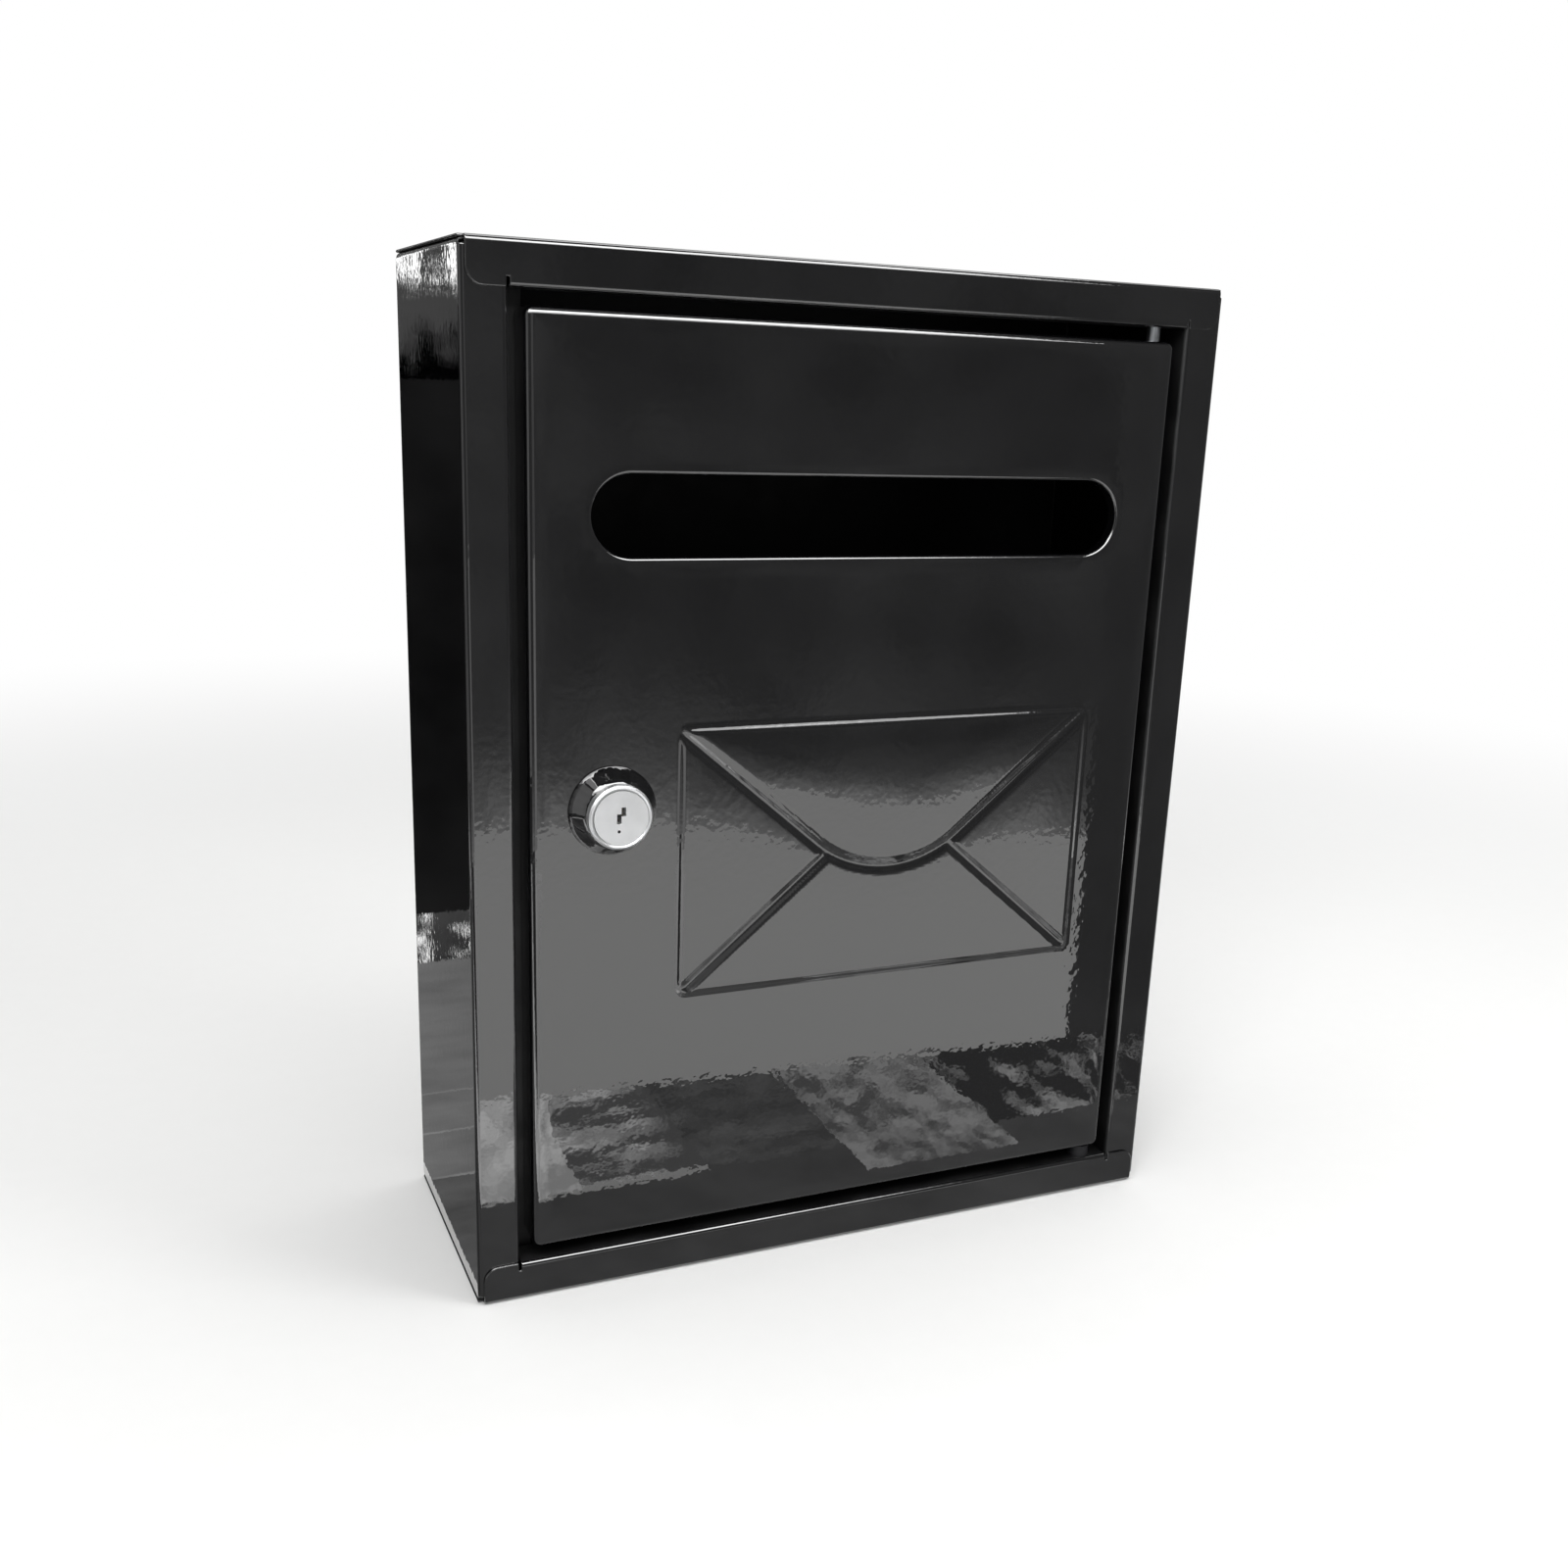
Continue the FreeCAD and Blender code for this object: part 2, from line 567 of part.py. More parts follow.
def draw_crease(sketch, side):
    """Upper edge of the crease from a lower corner of the envelope (side -1 left, 1 right) to the flap."""
    corner = ENVELOPE_LEFT if side < 0 else ENVELOPE_RIGHT
    low_x = f"({corner} - {side} * Sizes.crease_inset)"
    low_z = f"{ENVELOPE_BOTTOM} + Sizes.crease_inset"
    high_x = f"({ENVELOPE_MIDDLE} + {side} * Sizes.crease_reach)"
    high_z = f"{ENVELOPE_TOP} - Sizes.crease_drop"
    reach = "Sizes.crease_half * sqrt(2)"
    outline(sketch, [
        (f"{low_x} - {reach}", low_z, None),
        (f"{low_x} + {reach}", low_z, None),
        (f"{high_x} + {reach}", high_z, None),
        (f"{high_x} - {reach}", high_z, None),
    ])


def draw_left_crease(sketch):
    """Crease from the lower left corner."""
    draw_crease(sketch, -1)


def draw_right_crease(sketch):
    """Crease from the lower right corner."""
    draw_crease(sketch, 1)


def draw_slot(sketch, grow):
    """Posting slot, made larger all round by grow."""
    reach = "(Sizes.slot_length - Sizes.slot_height) / 2"
    start = (f"{SLOT_X} - {reach}", SLOT_Z)
    end = (f"{SLOT_X} + {reach}", SLOT_Z)
    band(sketch, start, end, f"Sizes.slot_height / 2 + {grow}")


def make_door_panel():
    """Pressed door pan with the posting slot, the raised envelope, and the lock and hinge holes."""
    body = new_body("door_panel")
    face = value(FACE_Y)
    blank = front_sketch(body)
    rectangle(blank, f"-{DOOR_X}", DOOR_X, f"-{DOOR_Z}", DOOR_Z)
    pad(body, blank, "Sizes.door_depth", reverse=True)
    round_edges(body, OUTER_BEND, lambda edge: lies_at_y(edge, face))

    inside_x = f"({DOOR_X} - Sizes.gauge)"
    inside_z = f"({DOOR_Z} - Sizes.gauge)"
    inside = front_sketch(body, "Sizes.door_depth")
    rectangle(inside, f"-{inside_x}", inside_x, f"-{inside_z}", inside_z)
    pocket(body, inside, "Sizes.door_depth - Sizes.gauge", reverse=True)
    floor = face + value("Sizes.gauge")
    round_edges(body, "Sizes.inner_bend", lambda edge: lies_at_y(edge, floor))

    press(body, draw_envelope, "Sizes.envelope_rise")
    for draw in (draw_flap_crease, draw_left_crease, draw_right_crease):
        sink(body, draw, "Sizes.envelope_rise", "Sizes.envelope_rise")
    press(body, draw_flap, "Sizes.flap_rise")

    rim = front_sketch(body, "Sizes.gauge")
    draw_slot(rim, "Sizes.gauge")
    pad(body, rim, "Sizes.slot_rim - Sizes.gauge", reverse=True)
    slot = front_sketch(body)
    draw_slot(slot, "0")
    pocket(body, slot, "Sizes.slot_rim")
    slot_low = value(f"{SLOT_Z} - Sizes.slot_height / 2") - 0.01
    slot_high = value(f"{SLOT_Z} + Sizes.slot_height / 2") + 0.01

    def round_the_slot(edge):
        box = edge.BoundBox
        return lies_at_y(edge, face) and box.ZMin > slot_low and box.ZMax < slot_high

    round_edges(body, "Sizes.slot_roll", round_the_slot)

    lock_hole = lock_sketch(body, "0")
    lock_flat = "Sizes.barrel_flat + Sizes.barrel_fit"
    flatted_circle(lock_hole, "Sizes.barrel_radius + Sizes.barrel_fit", lock_flat)
    pocket(body, lock_hole, "Sizes.gauge")

    hinge_holes = new_sketch(body, "XY_Plane", x=PIN_X, y=PIN_Y, z=DOOR_Z)
    circle(hinge_holes, "Sizes.pin_radius + Sizes.hinge_play")
    pocket(body, hinge_holes, f"2 * {DOOR_Z}")
    return body


# Hinge

def make_hinge_pin(name, side):
    """Headed pin that hangs in the upper lip (side 1) or stands in the lower lip (side -1)."""
    body = new_body(name)
    seat = f"{STRIP_Z} + Sizes.gauge"
    tail = f"{DOOR_Z} - Sizes.gauge - Sizes.pin_tail"
    profile = pin_profile(body)
    outline(profile, [
        ("0", f"{side} * ({seat} + Sizes.pin_head_height)", None),
        ("Sizes.pin_head_radius", f"{side} * ({seat} + Sizes.pin_head_height)", None),
        ("Sizes.pin_head_radius", f"{side} * ({seat})", None),
        ("Sizes.pin_radius", f"{side} * ({seat})", None),
        ("Sizes.pin_radius", f"{side} * ({tail})", None),
        ("0", f"{side} * ({tail})", None),
    ])
    revolve(body, profile, "V_Axis")
    return body


def make_hinge_spacer():
    """Ring that carries the door on the lower lip."""
    body = new_body("hinge_spacer")
    ring = new_sketch(body, "XY_Plane", x=PIN_X, y=PIN_Y, z=f"-{STRIP_Z}")
    circle(ring, "Sizes.spacer_radius")
    circle(ring, "Sizes.pin_radius + Sizes.pin_fit")
    pad(body, ring, "Sizes.door_gap - Sizes.spacer_play")
    return body


def make_pin_clip(name, side):
    """Six-sided push-on clip inside the door, with four slits from its bore."""
    body = new_body(name)
    top = f"{side} * ({DOOR_Z} - Sizes.gauge - Sizes.clip_gap)"
    ring = new_sketch(body, "XY_Plane", x=PIN_X, y=PIN_Y, z=top)
    hexagon(ring, "Sizes.clip_width")
    circle(ring, "Sizes.pin_radius + Sizes.pin_fit")
    pad(body, ring, "Sizes.clip_thickness", reverse=side > 0)
    reach = "(Sizes.pin_radius + Sizes.clip_width / 2) / 2"
    for cross in (False, True):
        slits = new_sketch(body, "XY_Plane", x=PIN_X, y=PIN_Y, z=top)
        half = "Sizes.clip_slit / 2"
        if cross:
            rectangle(slits, f"-{half}", half, f"-{reach}", reach)
        else:
            rectangle(slits, f"-{reach}", reach, f"-{half}", half)
        pocket(body, slits, "Sizes.clip_thickness", reverse=side < 0)
    return body


# Lock

def make_lock_housing():
    """Barrel with a bright head, a bore for the plug, two flats and a notch that limits the turn."""
    body = new_body("lock_housing")
    profile = lock_profile(body)
    face_bore = "Sizes.plug_face_radius + Sizes.running_clearance"
    face_floor = f"{HEAD_FRONT} + Sizes.plug_face_height"
    outline(profile, [
        (HEAD_FRONT, face_bore, None),
        (HEAD_FRONT, "Sizes.head_radius - Sizes.head_chamfer", None),
        (f"{HEAD_FRONT} + Sizes.head_chamfer", "Sizes.head_radius", None),
        (HEAD_BACK, "Sizes.head_radius", None),
        (HEAD_BACK, "Sizes.barrel_radius", None),
        (RIM_END, "Sizes.barrel_radius", None),
        (RIM_END, BORE, None),
        (face_floor, BORE, None),
        (face_floor, face_bore, None),
    ])
    revolve(body, profile, "H_Axis")

    for side in (-1, 1):
        flat = lock_sketch(body, HEAD_BACK)
        inner = f"{side} * Sizes.barrel_flat"
        outer = f"{side} * Sizes.collar_radius"
        rectangle(flat, inner, outer, "-Sizes.barrel_radius", "Sizes.barrel_radius")
        pocket(body, flat, f"{RIM_END} - {HEAD_BACK}")

    notch = lock_sketch(body, BARREL_END)
    side_face = "-(Sizes.stop_tab_width / 2 + Sizes.stop_side_gap)"
    rectangle(notch, side_face, "Sizes.collar_radius", side_face, "Sizes.collar_radius")
    pocket(body, notch, f"{RIM_END} - {BARREL_END}")
    return body


def make_lock_collar():
    """Cone ring between the head and the door."""
    body = new_body("lock_collar")
    profile = lock_profile(body)
    bore = "Sizes.barrel_radius + Sizes.barrel_fit"
    outline(profile, [
        ("0", bore, None),
        ("0", "Sizes.collar_radius", None),
        ("-Sizes.collar_edge", "Sizes.collar_radius", None),
        (HEAD_BACK, "Sizes.head_radius", None),
        (HEAD_BACK, bore, None),
    ])
    revolve(body, profile, "H_Axis")
    return body


def make_lock_washer():
    """Washer with teeth round its edge, between the door and the nut."""
    body = new_body("lock_washer")
    ring = lock_sketch(body, "Sizes.gauge")
    circle(ring, "Sizes.washer_radius")
    circle(ring, "Sizes.barrel_radius + Sizes.barrel_fit")
    pad(body, ring, "Sizes.washer_thickness", reverse=True)
    gap = lock_sketch(body, "Sizes.gauge")
    outline(gap, [
        ("Sizes.washer_radius - Sizes.tooth_depth", "0", None),
        ("Sizes.washer_radius + Sizes.tooth_depth", "-Sizes.tooth_width", None),
        ("Sizes.washer_radius + Sizes.tooth_depth", "Sizes.tooth_width", None),
    ])
    cut = pocket(body, gap, "Sizes.washer_thickness")
    pattern = body.newObject("PartDesign::PolarPattern", "lock_washer_teeth")
    pattern.Originals = [cut]
    pattern.Axis = (gap, ["N_Axis"])
    pattern.Angle = 360
    pattern.setExpression("Occurrences", "Sizes.tooth_count")
    body.Tip = pattern
    doc.recompute()
    return body


def make_lock_nut():
    """Hexagon nut on the barrel."""
    body = new_body("lock_nut")
    blank = lock_sketch(body, "Sizes.gauge + Sizes.washer_thickness")
    hexagon(blank, "Sizes.nut_width")
    circle(blank, "Sizes.barrel_radius + Sizes.barrel_fit")
    pad(body, blank, "Sizes.nut_height", reverse=True)
    return body


def make_lock_plug():
    """Turning plug: face, body with keyway and wafer slots, and a square tang with a screw hole."""
    body = new_body("lock_plug")
    profile = lock_profile(body)
    step = f"{HEAD_FRONT} + Sizes.plug_face_height - Sizes.end_play / 2"
    outline(profile, [
        (HEAD_FRONT, "0", None),
        (HEAD_FRONT, "Sizes.plug_face_radius", None),
        (step, "Sizes.plug_face_radius", None),
        (step, "Sizes.plug_radius", None),
        (SHOULDER, "Sizes.plug_radius", None),
        (SHOULDER, "0", None),
    ])
    revolve(body, profile, "H_Axis")

    tang = lock_sketch(body, SHOULDER)
    half = "Sizes.tang_width / 2"
    rectangle(tang, f"-{half}", half, f"-{half}", half)
    pad(body, tang, f"{CAM_BACK} - {SHOULDER} - 2 * Sizes.end_play", reverse=True)

    keyway = lock_sketch(body, HEAD_FRONT)
    outline(keyway, [
        ("-Sizes.keyway_width", "-Sizes.keyway_foot", None),
        ("0", "-Sizes.keyway_foot", None),
        ("0", "Sizes.keyway_step / 2", None),
        ("Sizes.keyway_width", "Sizes.keyway_step / 2", None),
        ("Sizes.keyway_width", "Sizes.keyway_top", None),
        ("0", "Sizes.keyway_top", None),
        ("0", "Sizes.keyway_step", None),
        ("-Sizes.keyway_width", "Sizes.keyway_step", None),
    ])
    pocket(body, keyway, "Sizes.keyway_depth")

    mark = lock_sketch(body, HEAD_FRONT)
    circle(mark, "Sizes.mark_radius", "-Sizes.keyway_width / 2", "-Sizes.mark_drop")
    pocket(body, mark, "Sizes.mark_depth")

    for index in range(int(value("Sizes.wafer_count"))):
        slot = lock_sketch(body, f"{wafer_depth(index)} - Sizes.wafer_play")
        half = "(Sizes.wafer_width / 2 + Sizes.wafer_play)"
        rectangle(slot, f"-{half}", half, "-Sizes.plug_radius", "Sizes.plug_radius")
        pocket(body, slot, "Sizes.wafer_thickness + 2 * Sizes.wafer_play")

    hole = lock_sketch(body, f"{SCREW_SEAT} - Sizes.screw_length - Sizes.end_play")
    circle(hole, "Sizes.screw_radius + Sizes.screw_fit")
    pocket(body, hole, "Sizes.screw_length")
    return body


def wafer_depth(index):
    """Depth of the front of a wafer behind the door face."""
    return f"{HEAD_FRONT} + Sizes.wafer_first + {index} * Sizes.wafer_pitch"


def make_wafer(index):
    """Wafer with a window for the key."""
    body = new_body(f"wafer_{index + 1}")
    plate = lock_sketch(body, wafer_depth(index))
    across = "Sizes.wafer_width / 2"
    up = "Sizes.wafer_height / 2"
    rectangle(plate, f"-{across}", across, f"-{up}", up)
    window = "(Sizes.keyway_width + Sizes.wafer_play)"
    top = f"Sizes.keyway_top - {index} * Sizes.wafer_play"
    rectangle(plate, f"-{window}", window, "-Sizes.keyway_foot", top)
    pad(body, plate, "Sizes.wafer_thickness", reverse=True)
    return body


def make_stop_washer():
    """Washer on the tang, with a tab in the notch of the barrel."""
    body = new_body("stop_washer")
    disc = lock_sketch(body, SHOULDER)
    circle(disc, "Sizes.stop_disc_radius")
    pad(body, disc, "Sizes.stop_thickness", reverse=True)
    tab = lock_sketch(body, SHOULDER)
    half = "Sizes.stop_tab_width / 2"
    rectangle(tab, f"-{half}", half, "0", "Sizes.stop_tab_reach")
    pad(body, tab, "Sizes.stop_thickness", reverse=True)
    cut_tang_hole(body, SHOULDER, "Sizes.stop_thickness")
    return body


def cut_tang_hole(body, depth, thickness):
    """Square hole for the tang of the plug."""
    hole = lock_sketch(body, depth)
    half = "(Sizes.tang_width / 2 + Sizes.tang_fit)"
    rectangle(hole, f"-{half}", half, f"-{half}", half)
    pocket(body, hole, thickness)


def make_lock_cam():
    """Latch arm, which hangs down when the lock is open."""
    body = new_body("lock_cam")
    plate = lock_sketch(body, CAM_FRONT)
    corner = "Sizes.cam_corner"
    outline(plate, [
        ("-Sizes.cam_hub", "Sizes.cam_hub", "2 * Sizes.cam_corner"),
        ("-Sizes.cam_hub", "-Sizes.cam_hub", corner),
        ("-Sizes.cam_tip", "-Sizes.cam_taper", corner),
        ("-Sizes.cam_tip", "-Sizes.cam_length", corner),
        ("Sizes.cam_tip", "-Sizes.cam_length", corner),
        ("Sizes.cam_tip", "-Sizes.cam_taper", corner),
        ("Sizes.cam_hub", "-Sizes.cam_hub", corner),
        ("Sizes.cam_hub", "Sizes.cam_hub", "2 * Sizes.cam_corner"),
    ])
    pad(body, plate, "Sizes.cam_thickness", reverse=True)
    cut_tang_hole(body, CAM_FRONT, "Sizes.cam_thickness")
    return body


def make_cam_spring_washer():
    """Split ring under the head of the cam screw."""
    body = new_body("cam_spring_washer")
    ring = lock_sketch(body, CAM_BACK)
    circle(ring, "Sizes.spring_washer_radius")
    circle(ring, "Sizes.screw_radius + Sizes.barrel_fit")
    pad(body, ring, "Sizes.spring_washer_thickness", reverse=True)
    split = lock_sketch(body, CAM_BACK)
    half = "Sizes.spring_washer_split / 2"
    rectangle(split, f"-{half}", half, "0", "2 * Sizes.spring_washer_radius")
    pocket(body, split, "Sizes.spring_washer_thickness")
    return body


def make_cam_screw():
    """Hexagon screw that holds the latch arm on the tang."""
    body = new_body("cam_screw")
    head = lock_sketch(body, SCREW_SEAT)
    hexagon(head, "Sizes.screw_head_width")
    pad(body, head, "Sizes.screw_head_height", reverse=True)
    shank = lock_sketch(body, SCREW_SEAT)
    circle(shank, "Sizes.screw_radius")
    pad(body, shank, "Sizes.screw_length")
    return body


pieces = [
    make_wrap_panel(),
    make_end_panel("top_panel", 1),
    make_end_panel("bottom_panel", -1),
    make_door_panel(),
    make_hinge_pin("upper_hinge_pin", 1),
    make_hinge_pin("lower_hinge_pin", -1),
    make_hinge_spacer(),
    make_pin_clip("upper_pin_clip", 1),
    make_pin_clip("lower_pin_clip", -1),
    make_lock_housing(),
    make_lock_collar(),
    make_lock_washer(),
    make_lock_nut(),
    make_lock_plug(),
    make_stop_washer(),
    make_lock_cam(),
    make_cam_spring_washer(),
    make_cam_screw(),
]
pieces += [make_wafer(index) for index in range(int(value("Sizes.wafer_count")))]
doc.recompute()

for item in doc.Objects:
    if "Invalid" in item.State or "Error" in item.State:
        raise RuntimeError(f"{item.Name} did not recompute: {item.State}")
for piece in pieces:
    if piece.Shape.isNull() or not piece.Shape.isValid():
        raise RuntimeError(f"{piece.Label} has no valid shape")

os.makedirs("parts", exist_ok=True)
for piece in pieces:
    piece.Shape.exportStep(f"parts/{piece.Label}.step")
    print(piece.Label, len(piece.Shape.Solids), round(piece.Shape.Volume, 1))
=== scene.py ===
# Finish of a wall mounted post box: black enamelled sheet, a pressed door and a bright cam lock.
# Lengths are in metres. X runs to the right, Y into the wall and Z up.
import json
import math

import bmesh
import bpy
import numpy as np
from mathutils import Euler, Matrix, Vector
from mathutils.geometry import delaunay_2d_cdt

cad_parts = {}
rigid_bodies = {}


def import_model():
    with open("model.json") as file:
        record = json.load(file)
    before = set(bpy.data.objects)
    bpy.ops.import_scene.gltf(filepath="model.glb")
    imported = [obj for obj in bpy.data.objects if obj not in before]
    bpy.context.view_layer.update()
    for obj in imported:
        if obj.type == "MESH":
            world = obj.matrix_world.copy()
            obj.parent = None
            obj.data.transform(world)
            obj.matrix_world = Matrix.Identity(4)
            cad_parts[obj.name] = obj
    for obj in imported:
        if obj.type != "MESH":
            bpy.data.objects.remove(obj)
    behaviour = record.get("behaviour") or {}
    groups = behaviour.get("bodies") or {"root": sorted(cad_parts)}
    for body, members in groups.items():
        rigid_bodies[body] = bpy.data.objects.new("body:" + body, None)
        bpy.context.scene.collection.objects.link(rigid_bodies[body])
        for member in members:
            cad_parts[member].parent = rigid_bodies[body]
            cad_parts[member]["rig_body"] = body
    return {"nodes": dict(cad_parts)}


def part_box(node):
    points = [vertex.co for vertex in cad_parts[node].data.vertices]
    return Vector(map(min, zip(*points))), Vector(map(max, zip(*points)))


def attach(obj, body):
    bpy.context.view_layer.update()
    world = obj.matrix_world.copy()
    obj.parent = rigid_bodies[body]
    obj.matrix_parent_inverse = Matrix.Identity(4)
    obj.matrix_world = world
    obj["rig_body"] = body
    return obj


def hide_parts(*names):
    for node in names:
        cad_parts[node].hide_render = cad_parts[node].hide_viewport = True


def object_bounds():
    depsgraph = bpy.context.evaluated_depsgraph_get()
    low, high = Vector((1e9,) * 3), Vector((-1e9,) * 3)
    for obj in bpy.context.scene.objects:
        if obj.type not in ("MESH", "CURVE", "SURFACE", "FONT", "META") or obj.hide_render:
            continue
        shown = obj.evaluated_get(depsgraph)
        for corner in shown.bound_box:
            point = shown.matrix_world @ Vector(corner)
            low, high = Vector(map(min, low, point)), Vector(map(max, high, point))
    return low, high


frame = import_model()
CAD_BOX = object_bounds()

bl_info = {
    "name": "Post Box Finish",
    "version": (1, 0, 0),
    "blender": (4, 5, 0),
    "location": "View3D > Sidebar > Post Box",
    "description": "Pressed door, folded box, lock, hinge and studio of a wall mounted post box",
    "category": "Object",
}

MM = 0.001
DOOR_LOW, DOOR_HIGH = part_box("door_panel")
COLLAR_LOW, COLLAR_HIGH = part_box("lock_collar")
HOUSING_LOW, HOUSING_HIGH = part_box("lock_housing")
WRAP_LOW, WRAP_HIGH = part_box("wrap_panel")
PIN_LOW, PIN_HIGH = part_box("upper_hinge_pin")
DOOR_FACE = COLLAR_HIGH.y
LOCK_CENTRE = (COLLAR_LOW + COLLAR_HIGH) / 2
PIN_CENTRE = (PIN_LOW + PIN_HIGH) / 2
FLOOR_Z = CAD_BOX[0].z


def length(name, description, millimetres):
    """Length property with a default in millimetres."""
    return bpy.props.FloatProperty(
        name=name, description=description, default=millimetres * MM, unit="LENGTH", precision=5
    )


def colour(name, description, code):
    """Colour property with an sRGB hex default."""
    return bpy.props.FloatVectorProperty(
        name=name, description=description, default=linear(code), size=3, min=0.0, max=1.0, subtype="COLOR"
    )


def linear(code):
    """Linear colour of an sRGB hex code."""
    channels = [int(code[place:place + 2], 16) / 255 for place in (1, 3, 5)]
    return tuple(c / 12.92 if c <= 0.04045 else ((c + 0.055) / 1.055) ** 2.4 for c in channels)


class PostBoxDoorSizes(bpy.types.PropertyGroup):
    """Sizes of the pressed door."""

    gauge: length("Gauge", "Thickness of the sheet", 0.8)
    corner: length("Corner", "Corner radius of the door", 2.5)
    bend: length("Bend", "Outer radius of the folded edge", 2.2)
    slot_length: length("Slot length", "Posting slot over its round ends", 166)
    slot_height: length("Slot height", "Posting slot", 22)
    slot_x: length("Slot X", "Centre of the slot", 0.8)
    slot_z: length("Slot Z", "Centre of the slot", 81.4)
    slot_roll: length("Slot roll", "Radius where the rim turns in", 1.2)
    slot_rim: length("Slot rim", "Depth of the turned-in rim", 4)
    lock_hole: length("Lock hole", "Radius of the hole for the barrel", 8.15)
    lock_flat: length("Lock flat", "Axis to each flat of the lock hole", 7.15)
    envelope_left: length("Envelope left", "Foot of the raised envelope", -57)
    envelope_right: length("Envelope right", "Foot of the raised envelope", 79.5)
    envelope_top: length("Envelope top", "Foot of the raised envelope", 23)
    envelope_bottom: length("Envelope bottom", "Foot of the raised envelope", -59)
    envelope_corner: length("Envelope corner", "Corner radius of the raised envelope", 3)
    envelope_rise: length("Envelope rise", "Height over the door", 1)
    envelope_slope: length("Envelope slope", "Width of its sloping edge", 2)
    flap_rise: length("Flap rise", "Height of the crowned flap over the door", 1.95)
    flap_edge: length("Flap edge", "Height of the flap just inside its edge", 1.35)
    flap_crown: length("Flap crown", "Width over which the flap is crowned", 26)
    flap_top: length("Flap top", "Height of the flap at its top edge", 0.8)
    flap_top_fall: length("Flap top fall", "Height over which the flap sinks to its top edge", 22)
    flap_tip_z: length("Flap tip Z", "Meeting point of the flap edges", -33)
    flap_tip_radius: length("Flap tip radius", "Rounding of the flap tip", 36)
    crease_width: length("Crease width", "Half width of the pressed creases", 2.0)
    crease_depth: length("Crease depth", "Depth of the creases in the envelope", 1.0)
    crease_skirt: bpy.props.FloatProperty(
        name="Crease skirt", description="Share of the depth that the sheet falls before the flap crease", default=0.16
    )
    crease_fade: length("Crease fade", "Width over which the sheet falls to the flap crease", 5)
    crease_inner_z: length("Crease inner Z", "Inner ends of the lower creases", -18.5)
    crease_reach: length("Crease reach", "Inner ends of the creases to the middle", 21)
    crease_inset: length("Crease inset", "Outer ends of the creases inside the envelope", 3)
    hinge_hole: length("Hinge hole", "Radius of the pin holes in the returns", 2.08)
    grid_fine: length("Fine grid", "Mesh step on the relief", 0.8)
    grid_plain: length("Plain grid", "Mesh step on the plain sheet", 4)


class PostBoxBoxSizes(bpy.types.PropertyGroup):
    """Sizes of the folded box that the frame doesn't give."""

    edge: length("Eased edge", "Width of the paint-rounded sheet edges", 0.38)
    weld_radius: length("Weld mark", "Radius of a spot weld mark", 2.4)
    weld_height: length("Weld height", "Height of a spot weld mark", 0.15)
    weld_inset: length("Weld inset", "Weld marks to the outside of the box", 4.8)


class PostBoxLockSizes(bpy.types.PropertyGroup):
    """Sizes of the cam lock that the frame doesn't give."""

    barrel: length("Barrel", "Crest radius of the thread", 8)
    root: length("Root", "Root radius of the thread", 7.55)
    flat: length("Flat", "Axis to each flat of the barrel", 7)
    pitch: length("Pitch", "Thread pitch", 1)
    thread_end: length("Thread end", "Thread to the inner end of the barrel", 1.6)
    mark_drop: length("Mark drop", "Punched mark under the middle of the plug", 3.8)


class PostBoxFinish(bpy.types.PropertyGroup):
    """Colours and grain of the finishes."""

    enamel: colour("Enamel", "Baked gloss enamel on the sheets", "#060607")
    chrome: colour("Chrome", "Pale plating on the lock", "#f6f7f8")
    zinc: colour("Zinc", "Plating on nut, washers, pins and latch arm", "#b9bcc0")
    nylon: colour("Nylon", "Moulded ring under the door", "#17171a")
    brass: colour("Brass", "Stamped wafers", "#c9a45a")
    peel: length("Orange peel", "Width of one dimple of the enamel", 2.6)
    wave: length("Sheet wave", "Width of one swell of the thin sheet", 60)


class PostBoxStudio(bpy.types.PropertyGroup):
    """Camera, floor and light."""

    camera_place: bpy.props.FloatVectorProperty(
        name="Camera place", description="Where the camera stands",
        default=(-0.20599, -0.50673, 0.11957), subtype="TRANSLATION",
    )
    camera_turn: bpy.props.FloatVectorProperty(
        name="Camera turn", description="Rotation of the camera",
        default=tuple(math.radians(a) for a in (73.9648, -2.3488, -24.2314)), subtype="EULER",
    )
    lens: bpy.props.FloatProperty(name="Lens", description="Focal length in millimetres", default=36.857)
    shift: bpy.props.FloatVectorProperty(
        name="Shift", description="Sideways and upward shift of the frame", default=(-0.02434, 0.03438), size=2
    )
    floor: colour("Floor", "Pale studio floor", "#f4f4f3")


# Meshes

def new_piece(name, mesh, body, material, *nodes):
    """Object of this mesh that rides on a body and stands for CAD nodes."""
    piece = bpy.data.objects.new(name, mesh)
    bpy.context.scene.collection.objects.link(piece)
    mesh.materials.clear()
    mesh.materials.append(material)
    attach(piece, body)
    if nodes:
        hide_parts(*nodes)
    return piece


def body_of(node):
    """Body that a CAD node rides on."""
    return frame["nodes"][node]["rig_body"]


def settled(mesh, prepare):
    """Plain mesh of this mesh after the modifiers that prepare adds."""
    holder = bpy.data.objects.new("holder", mesh)
    bpy.context.scene.collection.objects.link(holder)
    prepare(holder)
    graph = bpy.context.evaluated_depsgraph_get()
    plain = bpy.data.meshes.new_from_object(holder.evaluated_get(graph))
    bpy.data.objects.remove(holder)
    return plain


